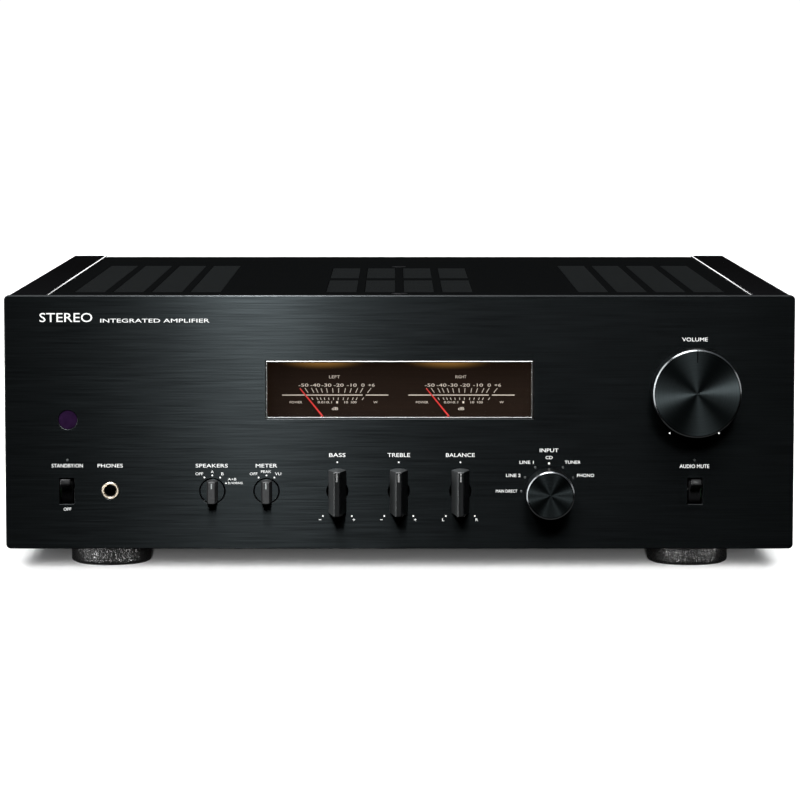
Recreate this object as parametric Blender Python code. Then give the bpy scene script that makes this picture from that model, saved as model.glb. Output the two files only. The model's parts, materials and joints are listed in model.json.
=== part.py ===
"""Full-width integrated amplifier with two level meters, built as separate pieces.

Metres, +Z up. The origin lies on the surface that the amplifier stands on, under the middle
of its box. +X is to the right seen from the front, and the front panel faces -Y. Every piece
that moves has its origin on its own joint axis.
"""

import math

import bmesh
import bpy
from mathutils import Matrix

# ---- overall size -------------------------------------------------------------------------
WIDTH = 0.435
HEIGHT = 0.157
FACE_Y = -0.2085
SIDE_REAR = FACE_Y + 0.430
POST_REAR = 0.2315

# ---- sheets, panels and the gap that touching pieces keep ---------------------------------
GAP = 0.0003
SHEET = 0.0012
PANEL_BOTTOM = 0.0167
PANEL_THICKNESS = 0.006
PANEL_CORNER = 0.0026
PANEL_CHAMFER = 0.0005
PANEL_BACK = FACE_Y + PANEL_THICKNESS
SUB_FRONT = PANEL_BACK + GAP
SUB_BACK = SUB_FRONT + SHEET
BEHIND_SUB = SUB_BACK + GAP

SIDE_OUTER = 0.2161
SIDE_INNER = 0.1951
SIDE_TOP = 0.1568
SIDE_ROUND = 0.0010
TRIM_INNER = 0.1940
TRIM_HEIGHT = 0.0036
CHASSIS_HALF = SIDE_INNER - GAP
COVER_HALF = TRIM_INNER - GAP
COVER_TOP = 0.1560
COVER_REAR = 0.2195
BOTTOM_Z = 0.0172
FLOOR_Z = BOTTOM_Z + SHEET + GAP
REAR_FRONT = 0.2080
REAR_SKIN = REAR_FRONT + 0.0015
OUTSIDE_REAR = REAR_SKIN + GAP

# ---- vents in the cover -------------------------------------------------------------------
VENT_WIDTH = 0.0172
VENT_PITCH = 0.0217
VENT_SIDE_START = 0.1005
VENT_CENTRE_START = 0.0024
VENT_SIDE_ROWS = ((0.046, 0.320),)
VENT_CENTRE_ROWS = ((0.046, 0.162), (0.182, 0.292))
MESH_HALF = 0.1865
SCREW_HEAD = 0.00475
SCREW_SHANK = 0.0019
SCREW_BEHIND_FACE = {"front": 0.033, "rear": 0.308}

# ---- front controls, as (x, z) on the panel -----------------------------------------------
ROW_Z = 0.0488
VOLUME_AT = (0.1625, 0.1044)
INPUT_AT = (0.0825, ROW_Z)
TONE_X = {"bass": -0.0343, "treble": -0.0004, "balance": 0.0336}
SELECTOR_X = {"speakers": -0.1033, "meter": -0.0734}
LEVER_X = {"power": -0.1836, "mute": 0.1631}
PHONES_AT = (-0.1596, 0.0490)
SENSOR_AT = (-0.1828, 0.0883)
LIGHT_AT = {"power": (-0.1832, 0.0661), "mute": (0.1628, 0.0660)}
SOURCE_DEGREES = (-90, -60, -30, 0, 30, 60)
SOURCE_RADIUS = 0.0153

KNOB_BACK = FACE_Y - 0.001
SHAFT_R = 0.003
SHAFT_END = -0.1905
RUNNING_GAP = 0.00006
BORE_END = SHAFT_END + 0.001
BUSHING_R = 0.0045
BUSHING_FRONT = -0.2040
BUSHING_HOLE_R = 0.0060
VOLUME_R = 0.0241
VOLUME_FRONT = FACE_Y - 0.020
INPUT_R = 0.01315
INPUT_FRONT = FACE_Y - 0.023
TONE_R = 0.0127
TONE_FRONT = FACE_Y - 0.018
SELECTOR_R = 0.0071
SELECTOR_BAR_R = 0.0067
SELECTOR_FRONT = FACE_Y - 0.0105
SELECTOR_HOLE_R = 0.0075

SLOT_HALF = (0.00415, 0.0073)
LEVER_PIVOT_Y = -0.2000
LEVER_DRUM_R = 0.0072
LEVER_TILT = math.radians(18.5)
LEVER_TIP = 0.0192
PIN_R = 0.001

PHONES_R = 0.0047
PHONES_BORE_R = 0.003175
PHONES_DEPTH = 0.0315
SENSOR_R = 0.00515
LIGHT_R = 0.0008
GUIDE_PIN_R = 0.0007
BOARD_FRONT = -0.1785
BOARD_THICKNESS = 0.0016

# ---- meters -------------------------------------------------------------------------------
WINDOW_HALF_X = 0.0738
WINDOW_Z = (0.0887, 0.1211)
BEZEL_RIM = 0.0009
DIAL_HALF_X = 0.0780
DIAL_Z = (0.0745, 0.1262)
DIAL_FRONT = -0.2003
PIVOT_X = 0.0349
PIVOT_Z = 0.0803
NEEDLE_Y = -0.2019
NEEDLE_THICKNESS = 0.0005
NEEDLE_LENGTH = 0.0319
NEEDLE_TAIL = 0.006
NEEDLE_REST = math.radians(-39)
STAFF_R = 0.001

# ---- feet ---------------------------------------------------------------------------------
FOOT_R = 0.02275
FOOT_X = 0.165
FOOT_Y = {"front": FACE_Y + 0.076, "rear": 0.165}
FOOT_TOP = BOTTOM_Z - GAP

# ---- rear connectors, as (x, z) on the rear panel -----------------------------------------
POST_Z = 0.055
POST_PITCH = 0.028
POST_START = {"right": 0.150, "left": -0.010}
POST_COUNT = 4
POST_STUD_R = 0.002
POST_CAP_R = 0.007
JACK_COLUMNS = 8
JACK_PITCH = 0.030
JACK_START = 0.152
JACK_ROWS = (0.110, 0.130)
JACK_R = 0.00415
GROUND_AT = (0.1765, 0.120)
INLET_AT = (-0.165, 0.045)
SLIDER_AT = (-0.168, 0.085)
SLIDER_TRAVEL = 0.005


# ---- materials ----------------------------------------------------------------------------
def material(name, colour, roughness, metallic):
    made = bpy.data.materials.new(name)
    made.use_nodes = True
    shader = made.node_tree.nodes["Principled BSDF"]
    shader.inputs["Base Color"].default_value = (*colour, 1.0)
    shader.inputs["Roughness"].default_value = roughness
    shader.inputs["Metallic"].default_value = metallic
    return made


def clear_scene():
    for obj in list(bpy.data.objects):
        bpy.data.objects.remove(obj, do_unlink=True)


clear_scene()
ANODISED = material("black_anodised_aluminium", (0.012, 0.014, 0.015), 0.35, 0.9)
SPUN = material("spun_black_aluminium", (0.02, 0.024, 0.026), 0.28, 0.9)
PAINT = material("satin_black_paint", (0.015, 0.015, 0.016), 0.5, 0.2)
LACQUER = material("black_lacquer", (0.006, 0.006, 0.007), 0.08, 0.0)
STEEL = material("zinc_plated_steel", (0.55, 0.56, 0.57), 0.4, 1.0)
BRIGHT = material("polished_aluminium", (0.8, 0.81, 0.82), 0.15, 1.0)
FIN_METAL = material("plain_aluminium", (0.6, 0.61, 0.63), 0.45, 1.0)
PLASTIC = material("black_plastic", (0.012, 0.012, 0.013), 0.4, 0.0)
RUBBER = material("black_rubber", (0.01, 0.01, 0.01), 0.7, 0.0)
GLASS = material("clear_glass", (0.9, 0.9, 0.9), 0.05, 0.0)
DIAL = material("brown_black_dial", (0.02, 0.012, 0.007), 0.6, 0.0)
RED = material("red_needle_paint", (0.75, 0.05, 0.02), 0.4, 0.0)
GOLD = material("gold_plate", (0.85, 0.68, 0.38), 0.25, 1.0)
SMOKED = material("smoked_lens", (0.03, 0.008, 0.03), 0.1, 0.0)
CLEAR_PLASTIC = material("light_pipe_plastic", (0.85, 0.85, 0.82), 0.2, 0.0)
BOARD = material("circuit_board", (0.05, 0.09, 0.04), 0.5, 0.0)
CASE_GREY = material("transformer_case", (0.09, 0.09, 0.1), 0.5, 0.6)


# ---- building blocks ----------------------------------------------------------------------
ORIGIN = (0.0, 0.0, 0.0)
TURN_FROM_Y = {
    "X": Matrix.Rotation(math.radians(-90), 4, "Z"),
    "Y": Matrix.Identity(4),
    "Z": Matrix.Rotation(math.radians(90), 4, "X"),
}


def new_object(name, bm, look, about=ORIGIN):
    bmesh.ops.recalc_face_normals(bm, faces=bm.faces)
    mesh = bpy.data.meshes.new(name)
    bm.to_mesh(mesh)
    bm.free()
    mesh.materials.append(look)
    obj = bpy.data.objects.new(name, mesh)
    obj.location = about
    bpy.context.scene.collection.objects.link(obj)
    return obj


def box(name, look, low, high, about=ORIGIN, rounding=0.0, segments=2):
    """A block between two corners, with its edges rounded if asked."""
    bm = bmesh.new()
    bmesh.ops.create_cube(bm, size=1.0)
    for vert in bm.verts:
        for i in range(3):
            vert.co[i] = low[i] if vert.co[i] < 0 else high[i]
    if rounding:
        bmesh.ops.bevel(bm, geom=bm.edges[:], offset=rounding, segments=segments,
                        profile=0.5, affect="EDGES")
    return new_object(name, bm, look, about)


def turned(name, look, profile, about=ORIGIN, axis="Y", segments=24):
    """A profile of (radius, distance along the axis) spun once round the axis."""
    bm = bmesh.new()
    verts = [bm.verts.new((radius, along, 0.0)) for radius, along in profile]
    edges = [bm.edges.new(pair) for pair in zip(verts, verts[1:])]
    bmesh.ops.spin(bm, geom=verts + edges, cent=(0, 0, 0), axis=(0, 1, 0),
                   dvec=(0, 0, 0), angle=math.tau, steps=segments, use_merge=True)
    bmesh.ops.remove_doubles(bm, verts=bm.verts, dist=1e-6)
    bm.transform(TURN_FROM_Y[axis])
    obj = new_object(name, bm, look, about)
    obj.data.shade_smooth()
    obj.data.set_sharp_from_angle(angle=math.radians(35))
    return obj


def bored(shaft_r, segments):
    """Corner radius of a bore whose flats clear a shaft by the running gap."""
    return (shaft_r + RUNNING_GAP) / math.cos(math.pi / segments)


def rod(name, look, radius, start, end, about=ORIGIN, axis="Y", segments=24):
    profile = [(0, start), (radius, start), (radius, end), (0, end)]
    return turned(name, look, profile, about, axis, segments)


def prism(name, look, outline, axis, start, end, about=ORIGIN):
    """A flat outline pushed along one axis. Its two numbers are the other axes, in order."""
    place = {
        "X": lambda u, v: (start, u, v),
        "Y": lambda u, v: (u, start, v),
        "Z": lambda u, v: (u, v, start),
    }[axis]
    bm = bmesh.new()
    face = bm.faces.new([bm.verts.new(place(u, v)) for u, v in outline])
    pushed = bmesh.ops.extrude_face_region(bm, geom=[face])["geom"]
    step = [0.0, 0.0, 0.0]
    step["XYZ".index(axis)] = end - start
    moved = [item for item in pushed if isinstance(item, bmesh.types.BMVert)]
    bmesh.ops.translate(bm, verts=moved, vec=step)
    return new_object(name, bm, look, about)


def rounded_rectangle(half_u, half_v, radius, steps=3, centre=(0.0, 0.0)):
    """Outline of a rectangle with quarter-circle corners, anticlockwise."""
    points = []
    for quarter, (su, sv) in enumerate(((1, 1), (-1, 1), (-1, -1), (1, -1))):
        for i in range(steps + 1):
            angle = math.radians(90) * (quarter + i / steps)
            points.append((
                centre[0] + su * (half_u - radius) + radius * math.cos(angle),
                centre[1] + sv * (half_v - radius) + radius * math.sin(angle),
            ))
    return points


def combine(target, operation, tools):
    """One Boolean of the target with a group of tool shapes, which are then only guides."""
    group = bpy.data.collections.new(f"{target.name}_{operation.lower()}")
    for tool in tools:
        group.objects.link(tool)
        tool.hide_render = True
        tool.display_type = "WIRE"
    modifier = target.modifiers.new(operation.title(), "BOOLEAN")
    modifier.operation = operation
    modifier.operand_type = "COLLECTION"
    modifier.collection = group
    modifier.solver = "EXACT"
    return target


def through(name, centre, radius, segments=24, start=FACE_Y - 0.01, end=BEHIND_SUB + 0.01):
    """A round cutter along Y at (x, z)."""
    return rod(name, STEEL, radius, start, end, (centre[0], 0, centre[1]), "Y", segments)


def source_pins():
    """The (x, z) of each source light round the input knob, left to right."""
    for degrees in SOURCE_DEGREES:
        angle = math.radians(degrees)
        yield (INPUT_AT[0] + SOURCE_RADIUS * math.sin(angle),
               INPUT_AT[1] + SOURCE_RADIUS * math.cos(angle))


# ---- front panel and the steel panel behind it --------------------------------------------
def front_cutters(prefix, spare, window_half_x, window_z, slot_half, selector_r, segments):
    """Cutters for everything that passes through the front, larger by spare all round."""
    def hole(label, centre, radius, sides=segments):
        return through(f"{prefix}_{label}", centre, radius + spare, sides)

    cutters = [hole("volume", VOLUME_AT, BUSHING_HOLE_R)]
    cutters.append(hole("input", INPUT_AT, BUSHING_HOLE_R))
    cutters.append(hole("phones", PHONES_AT, PHONES_R + GAP))
    cutters.append(hole("sensor", SENSOR_AT, SENSOR_R + GAP))
    for label, x in TONE_X.items():
        cutters.append(hole(label, (x, ROW_Z), BUSHING_HOLE_R))
    for label, x in SELECTOR_X.items():
        cutters.append(hole(label, (x, ROW_Z), selector_r, segments + 4))
    for label, centre in LIGHT_AT.items():
        cutters.append(hole(f"{label}_light", centre, LIGHT_R + GAP, 8))
    for number, centre in enumerate(source_pins()):
        cutters.append(hole(f"source_{number}", centre, GUIDE_PIN_R + GAP, 8))
    start, end = FACE_Y - 0.01, BEHIND_SUB + 0.01
    for label, x in LEVER_X.items():
        outline = rounded_rectangle(*slot_half, 0.0006, 2, (x, ROW_Z))
        cutters.append(prism(f"{prefix}_{label}_slot", STEEL, outline, "Y", start, end))
    low = (-window_half_x, start, window_z[0])
    high = (window_half_x, end, window_z[1])
    cutters.append(box(f"{prefix}_window", STEEL, low, high))
    return cutters


def front_panel():
    middle = (PANEL_BOTTOM + HEIGHT) / 2
    half_height = (HEIGHT - PANEL_BOTTOM) / 2
    outline = rounded_rectangle(WIDTH / 2, half_height, PANEL_CORNER, 4, (0, middle))
    panel = prism("front_panel", ANODISED, outline, "Y", PANEL_BACK, FACE_Y)
    bm = bmesh.new()
    bm.from_mesh(panel.data)
    rim = [edge for edge in bm.edges if all(v.co.y < FACE_Y + 1e-5 for v in edge.verts)]
    bmesh.ops.bevel(bm, geom=rim, offset=PANEL_CHAMFER, segments=1, affect="EDGES")
    bm.to_mesh(panel.data)
    bm.free()
    combine(panel, "DIFFERENCE", front_cutters(
        "panel", 0.0, WINDOW_HALF_X, WINDOW_Z, SLOT_HALF, SELECTOR_HOLE_R, 24))


def sub_panel():
    panel = box("sub_panel", STEEL, (-COVER_HALF, SUB_FRONT, FLOOR_Z),
                (COVER_HALF, SUB_BACK, COVER_TOP - SHEET - GAP))
    combine(panel, "DIFFERENCE", front_cutters(
        "sub", 0.0004, DIAL_HALF_X + 0.001, (DIAL_Z[0] - 0.001, DIAL_Z[1] + 0.001),
        (0.0056, 0.0086), BUSHING_HOLE_R, 12))


# ---- casing -------------------------------------------------------------------------------
def bottom_plate():
    box("bottom_plate", STEEL, (-CHASSIS_HALF, SUB_FRONT, BOTTOM_Z),
        (CHASSIS_HALF, COVER_REAR - 0.006, BOTTOM_Z + SHEET))


def vent_cutters():
    """One cutter for each long window: four columns a side, and four in two rows between."""
    layout = [
        (VENT_SIDE_START, 4, VENT_SIDE_ROWS),
        (VENT_CENTRE_START, 2, VENT_CENTRE_ROWS),
    ]
    for first, columns, rows in layout:
        for column in range(columns):
            inner = first + column * VENT_PITCH
            for near, far in rows:
                for side in (-1, 1):
                    x = sorted((side * inner, side * (inner + VENT_WIDTH)))
                    yield box("vent_cutter", STEEL, (x[0], FACE_Y + near, COVER_TOP - 0.01),
                              (x[1], FACE_Y + far, COVER_TOP + 0.01))


def top_cover():
    cover = box("top_cover", PAINT, (-COVER_HALF, SUB_FRONT, COVER_TOP - SHEET),
                (COVER_HALF, COVER_REAR, COVER_TOP))
    cutters = list(vent_cutters())
    for behind in SCREW_BEHIND_FACE.values():
        place = (0, FACE_Y + behind, 0)
        sink = [(0, COVER_TOP - 0.003), (SCREW_SHANK + GAP, COVER_TOP - 0.003),
                (SCREW_SHANK + GAP, COVER_TOP - SHEET), (SCREW_HEAD + GAP, COVER_TOP),
                (SCREW_HEAD + GAP, COVER_TOP + 0.003), (0, COVER_TOP + 0.003)]
        cutters.append(turned("screw_sink", STEEL, sink, place, "Z", 20))
    combine(cover, "DIFFERENCE", cutters)


def vent_mesh():
    """The fine mesh sheet held under the cover's windows."""
    top = COVER_TOP - SHEET - GAP
    sheet = box("vent_mesh", PAINT, (-MESH_HALF, FACE_Y + 0.043, top - 0.001),
                (MESH_HALF, FACE_Y + 0.323, top))
    place = (0, FACE_Y + SCREW_BEHIND_FACE["rear"], 0)
    hole = rod("mesh_screw_hole", STEEL, SCREW_SHANK + 0.0006, top - 0.01, top + 0.01,
               place, "Z", 12)
    combine(sheet, "DIFFERENCE", [hole])


def cover_screws():
    for name, behind in SCREW_BEHIND_FACE.items():
        head = COVER_TOP + 0.0001
        profile = [(0, head - 0.010), (SCREW_SHANK, head - 0.010),
                   (SCREW_SHANK, head - SHEET), (SCREW_HEAD, head), (0, head)]
        turned(f"cover_screw_{name}", STEEL, profile, (0, FACE_Y + behind, 0), "Z", 20)


def side_panels():
    for name, side in (("left", -1), ("right", 1)):
        x = sorted((side * SIDE_INNER, side * SIDE_OUTER))
        box(f"side_panel_{name}", LACQUER, (x[0], SUB_FRONT, BOTTOM_Z),
            (x[1], SIDE_REAR, SIDE_TOP), rounding=SIDE_ROUND)
        x = sorted((side * TRIM_INNER, side * CHASSIS_HALF))
        box(f"side_trim_{name}", BRIGHT, (x[0], SUB_FRONT, SIDE_TOP - TRIM_HEIGHT),
            (x[1], COVER_REAR, SIDE_TOP + 0.0002))


def feet():
    profile = [(0, 0), (FOOT_R - 0.004, 0), (FOOT_R - 0.0012, 0.0009), (FOOT_R, 0.0030),
               (FOOT_R, FOOT_TOP - 0.0006), (FOOT_R - 0.0006, FOOT_TOP), (0, FOOT_TOP)]
    for end, y in FOOT_Y.items():
        for name, side in (("left", -1), ("right", 1)):
            turned(f"foot_{end}_{name}", RUBBER, profile, (side * FOOT_X, y, 0), "Z", 28)


# ---- meters -------------------------------------------------------------------------------
def meter_window():
    low, high = WINDOW_Z
    half = WINDOW_HALF_X - GAP
    bezel = box("meter_bezel", BRIGHT, (-half, FACE_Y - 0.0002, low + GAP),
                (half, PANEL_BACK - GAP, high - GAP))
    inner = half - BEZEL_RIM
    opening = box("bezel_opening", STEEL, (-inner, FACE_Y - 0.01, low + GAP + BEZEL_RIM),
                  (inner, PANEL_BACK + 0.01, high - GAP - BEZEL_RIM))
    combine(bezel, "DIFFERENCE", [opening])
    inner -= GAP
    inset = GAP + BEZEL_RIM + GAP
    box("meter_glass", GLASS, (-inner, FACE_Y + 0.0014, low + inset),
        (inner, FACE_Y + 0.0024, high - inset))


def meter_dial():
    """One printed plate behind the window, with a hole for each pointer's staff."""
    plate = box("meter_dial", DIAL, (-DIAL_HALF_X, DIAL_FRONT, DIAL_Z[0]),
                (DIAL_HALF_X, DIAL_FRONT + 0.0008, DIAL_Z[1]))
    holes = [through("dial_hole", (side * PIVOT_X, PIVOT_Z), STAFF_R + 0.0004, 12)
             for side in (-1, 1)]
    combine(plate, "DIFFERENCE", holes)
    box("meter_lamp_bar", CLEAR_PLASTIC, (-0.070, PANEL_BACK + 0.0004, 0.1222),
        (0.070, DIAL_FRONT - GAP, 0.1262))


def meter_movements():
    start = DIAL_FRONT + 0.0008 + GAP
    for name, side in (("left", -1), ("right", 1)):
        about = (side * PIVOT_X, 0, PIVOT_Z)
        body = rod(f"meter_movement_{name}", PLASTIC, 0.012, start, start + 0.016, about)
        bore = rod("movement_bore", STEEL, bored(STAFF_R, 12), start - 0.01, start + 0.007,
                   about, "Y", 12)
        combine(body, "DIFFERENCE", [bore])


def meter_needles():
    """A tapered pointer, its tail and its hub in one piece, on a staff that turns."""
    tip, root, tail = 0.0003, 0.0005, 0.0009
    shape = [(-tip, NEEDLE_LENGTH), (-root, 0), (-tail, -NEEDLE_TAIL),
             (tail, -NEEDLE_TAIL), (root, 0), (tip, NEEDLE_LENGTH)]
    cos, sin = math.cos(NEEDLE_REST), math.sin(NEEDLE_REST)
    outline = [(x * cos + z * sin, z * cos - x * sin) for x, z in shape]
    for name, side in (("left", -1), ("right", 1)):
        about = (side * PIVOT_X, NEEDLE_Y, PIVOT_Z)
        needle = prism(f"meter_needle_{name}", RED, outline, "Y", 0, NEEDLE_THICKNESS, about)
        profile = [(0, 0.0001), (0.0022, 0.0001), (0.0022, 0.0007), (STAFF_R, 0.0007),
                   (STAFF_R, 0.0078), (0, 0.0078)]
        hub = turned("needle_hub", RED, profile, about, "Y", 12)
        combine(needle, "UNION", [hub])


# ---- knobs, levers and what they turn -----------------------------------------------------
def knob_profile(radius, front, chamfer):
    """A plain round knob and its shaft, from the front face to the shaft's end."""
    return [(0, front), (radius - chamfer, front), (radius, front + chamfer),
            (radius, KNOB_BACK), (SHAFT_R, KNOB_BACK), (SHAFT_R, SHAFT_END), (0, SHAFT_END)]


def round_knobs():
    about = (VOLUME_AT[0], 0, VOLUME_AT[1])
    knob = turned("volume_knob", SPUN, knob_profile(VOLUME_R, VOLUME_FRONT, 0.0011),
                  about, "Y", 56)
    notch = box("volume_notch", STEEL, (-0.0005, VOLUME_FRONT - 0.002, VOLUME_R - 0.0079),
                (0.0005, VOLUME_FRONT + 0.0007, VOLUME_R + 0.002), about)
    combine(knob, "DIFFERENCE", [notch])
    about = (INPUT_AT[0], 0, INPUT_AT[1])
    turned("input_knob", SPUN, knob_profile(INPUT_R, INPUT_FRONT, 0.0008), about, "Y", 40)


def control(name, x, z, body_r, body_start, body_end, segments=16):
    """A turning control: its body, and the bushing that comes through the steel panel."""
    bore_r = bored(SHAFT_R, segments)
    profile = [(0, body_end), (body_r, body_end), (body_r, body_start),
               (BUSHING_R, body_start), (BUSHING_R, BUSHING_FRONT), (bore_r, BUSHING_FRONT),
               (bore_r, BORE_END), (0, BORE_END)]
    return turned(name, PLASTIC, profile, (x, 0, z), "Y", segments)


def volume_and_input_controls():
    control("volume_control", *VOLUME_AT, 0.013, BEHIND_SUB, -0.1720, 24)
    control("input_encoder", *INPUT_AT, 0.0115, -0.1986, BOARD_FRONT - GAP, 20)


def mirrored(half):
    """Both sides of an outline given by its +X half."""
    return half + [(-x, y) for x, y in reversed(half)]


def tone_knobs():
    """Round knobs with both flanks planed away, so that a wedge-shaped bar stands out."""
    wedge = mirrored([(0.0049, KNOB_BACK), (0.0017, TONE_FRONT + 0.0004),
                      (0.0013, TONE_FRONT)])
    for name, x in TONE_X.items():
        about = (x, 0, ROW_Z)
        knob = prism(f"{name}_knob", PLASTIC, wedge, "Z", -0.02, 0.02, about)
        round_end = turned("tone_round", STEEL, [
            (0, TONE_FRONT - 0.01), (TONE_R - 0.0004, TONE_FRONT - 0.01),
            (TONE_R - 0.0004, TONE_FRONT), (TONE_R, KNOB_BACK), (TONE_R, KNOB_BACK + 0.01),
            (0, KNOB_BACK + 0.01)], about, "Y", 40)
        combine(knob, "INTERSECT", [round_end])
        shaft = rod("tone_shaft", STEEL, SHAFT_R, KNOB_BACK - 0.003, SHAFT_END, about)
        combine(knob, "UNION", [shaft])


def selector_knobs():
    """A small disc sunk in the panel, with a finger bar standing out of it."""
    wedge = mirrored([(0.0031, FACE_Y + 0.0015), (0.0031, FACE_Y + 0.0002),
                      (0.0018, SELECTOR_FRONT + 0.0002), (0.0016, SELECTOR_FRONT)])
    for name, x in SELECTOR_X.items():
        about = (x, 0, ROW_Z)
        profile = [(0, FACE_Y + 0.0002), (SELECTOR_R, FACE_Y + 0.0002),
                   (SELECTOR_R, BUSHING_FRONT - 0.0005), (SHAFT_R, BUSHING_FRONT - 0.0005),
                   (SHAFT_R, SHAFT_END), (0, SHAFT_END)]
        knob = turned(f"{name}_knob", PLASTIC, profile, about)
        bar = prism("selector_bar", STEEL, wedge, "Z", -0.01, 0.01, about)
        round_end = turned("selector_round", STEEL, [
            (0, SELECTOR_FRONT - 0.01), (SELECTOR_BAR_R - 0.0008, SELECTOR_FRONT - 0.01),
            (SELECTOR_BAR_R - 0.0008, SELECTOR_FRONT), (SELECTOR_BAR_R, FACE_Y),
            (SELECTOR_BAR_R, FACE_Y + 0.01), (0, FACE_Y + 0.01)], about)
        combine(bar, "INTERSECT", [round_end])
        combine(knob, "UNION", [bar])


def levers():
    """A rocking drum on two stub pins, with a short bat that reaches through the slot."""
    drum_half, pin_half, bat_half = 0.0032, 0.0045, 0.0029
    profile = [(0, -pin_half), (PIN_R, -pin_half), (PIN_R, -drum_half),
               (LEVER_DRUM_R, -drum_half), (LEVER_DRUM_R, drum_half), (PIN_R, drum_half),
               (PIN_R, pin_half), (0, pin_half)]
    shape = [(-0.004, -0.0021), (-LEVER_TIP, -0.0016), (-LEVER_TIP, 0.0016), (-0.004, 0.0021)]
    cos, sin = math.cos(LEVER_TILT), math.sin(LEVER_TILT)
    outline = [(y * cos + z * sin, z * cos - y * sin) for y, z in shape]
    for name, x in LEVER_X.items():
        about = (x, LEVER_PIVOT_Y, ROW_Z)
        lever = turned(f"{name}_lever", PLASTIC, profile, about, "X", 20)
        bat = prism("lever_bat", PLASTIC, outline, "X", -bat_half, bat_half, about)
        combine(lever, "UNION", [bat])


def front_control_board():
    """The long board behind the lower row: tone controls, selectors and lever switches."""
    board_back = BOARD_FRONT + BOARD_THICKNESS
    board = box("front_control_board", BOARD, (-0.1925, BOARD_FRONT, ROW_Z - 0.0145),
                (0.1730, board_back, ROW_Z + 0.0145))
    parts = []
    for x in [*TONE_X.values(), *SELECTOR_X.values()]:
        parts.append(control("control_body", x, ROW_Z, 0.0085, BEHIND_SUB,
                             BOARD_FRONT + 0.0005))
    bores = []
    for x in LEVER_X.values():
        low = (x - 0.0050, -0.1922, ROW_Z - 0.006)
        high = (x + 0.0050, BOARD_FRONT + 0.0005, ROW_Z + 0.006)
        parts.append(box("lever_switch", PLASTIC, low, high))
        for side in (-1, 1):
            cheek = sorted((x + side * 0.0036, x + side * 0.0048))
            parts.append(box("lever_cheek", STEEL, (cheek[0], -0.2018, ROW_Z - 0.004),
                             (cheek[1], -0.1900, ROW_Z + 0.004)))
        bores.append(rod("lever_bore", STEEL, bored(PIN_R, 12), x - 0.006, x + 0.006,
                         (0, LEVER_PIVOT_Y, ROW_Z), "X", 12))
    combine(board, "UNION", parts)
    low = (PHONES_AT[0] - 0.0085, BOARD_FRONT - 0.01, PHONES_AT[1] - 0.0085)
    high = (PHONES_AT[0] + 0.0085, board_back + 0.01, PHONES_AT[1] + 0.0085)
    bores.append(box("phones_cutout", STEEL, low, high))
    combine(board, "DIFFERENCE", bores)


# ---- small front pieces -------------------------------------------------------------------
def phones_jack():
    about = (PHONES_AT[0], 0, PHONES_AT[1])
    front = FACE_Y - 0.0006
    end = front + PHONES_DEPTH
    jack = rod("phones_jack", GOLD, PHONES_R, front, BEHIND_SUB + 0.004, about)
    body = box("jack_body", PLASTIC, (-0.0075, BEHIND_SUB, -0.0075),
               (0.0075, end + 0.002, 0.0075), about)
    bore = rod("jack_bore", STEEL, PHONES_BORE_R, front - 0.01, end, about)
    combine(jack, "UNION", [body])
    combine(jack, "DIFFERENCE", [bore])


def flanged_pin(name, look, centre, radius, front, flange_r, flange_depth, segments):
    """A pin from the panel's face to a flange behind the steel panel."""
    profile = [(0, front), (radius, front), (radius, BEHIND_SUB), (flange_r, BEHIND_SUB),
               (flange_r, BEHIND_SUB + flange_depth), (0, BEHIND_SUB + flange_depth)]
    turned(name, look, profile, (centre[0], 0, centre[1]), "Y", segments)


def windows_and_lights():
    flanged_pin("remote_sensor_window", SMOKED, SENSOR_AT, SENSOR_R, FACE_Y + 0.0002,
                0.0075, 0.002, 24)
    for name, centre in LIGHT_AT.items():
        flanged_pin(f"{name}_light", CLEAR_PLASTIC, centre, LIGHT_R, FACE_Y, 0.002, 0.004, 8)


def input_light_guide():
    """A clear ring behind the panel with one pin reaching the face for each source."""
    about = (INPUT_AT[0], 0, INPUT_AT[1])
    profile = [(0.0125, BEHIND_SUB), (0.0180, BEHIND_SUB), (0.0180, BEHIND_SUB + 0.0015),
               (0.0125, BEHIND_SUB + 0.0015), (0.0125, BEHIND_SUB)]
    ring = turned("input_light_guide", CLEAR_PLASTIC, profile, about)
    pins = [rod("guide_pin", CLEAR_PLASTIC, GUIDE_PIN_R, FACE_Y, BEHIND_SUB + 0.0008,
                (x, 0, z), "Y", 8) for x, z in source_pins()]
    combine(ring, "UNION", pins)


# ---- rear panel and connectors ------------------------------------------------------------
def block_box(name, look, centre, half, y, spare=0.0):
    """A box centred on (x, z) of the rear panel, between two y values."""
    low = (centre[0] - half[0] - spare, y[0], centre[1] - half[1] - spare)
    high = (centre[0] + half[0] + spare, y[1], centre[1] + half[1] + spare)
    return box(name, look, low, high)


JACK_CENTRE = (0.0450, 0.120)
JACK_BOSS = (0.1150, 0.0165)
POST_CENTRE = (0.0280, POST_Z)
POST_BOSS = (0.1340, 0.0120)
INLET_BOSS = (0.0138, 0.0100)


def rear_panel():
    panel = box("rear_panel", STEEL, (-COVER_HALF, REAR_FRONT, FLOOR_Z),
                (COVER_HALF, REAR_SKIN, COVER_TOP - SHEET - GAP))
    reach = (REAR_FRONT - 0.01, REAR_SKIN + 0.01)
    cutters = [
        block_box("jack_cutout", STEEL, JACK_CENTRE, JACK_BOSS, reach, GAP),
        block_box("post_cutout", STEEL, POST_CENTRE, POST_BOSS, reach, GAP),
        block_box("inlet_cutout", STEEL, INLET_AT, INLET_BOSS, reach, GAP),
        block_box("slider_slot", STEEL, (SLIDER_AT[0] + SLIDER_TRAVEL / 2, SLIDER_AT[1]),
                  (0.0048, 0.0019), reach),
    ]
    combine(panel, "DIFFERENCE", cutters)


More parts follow.
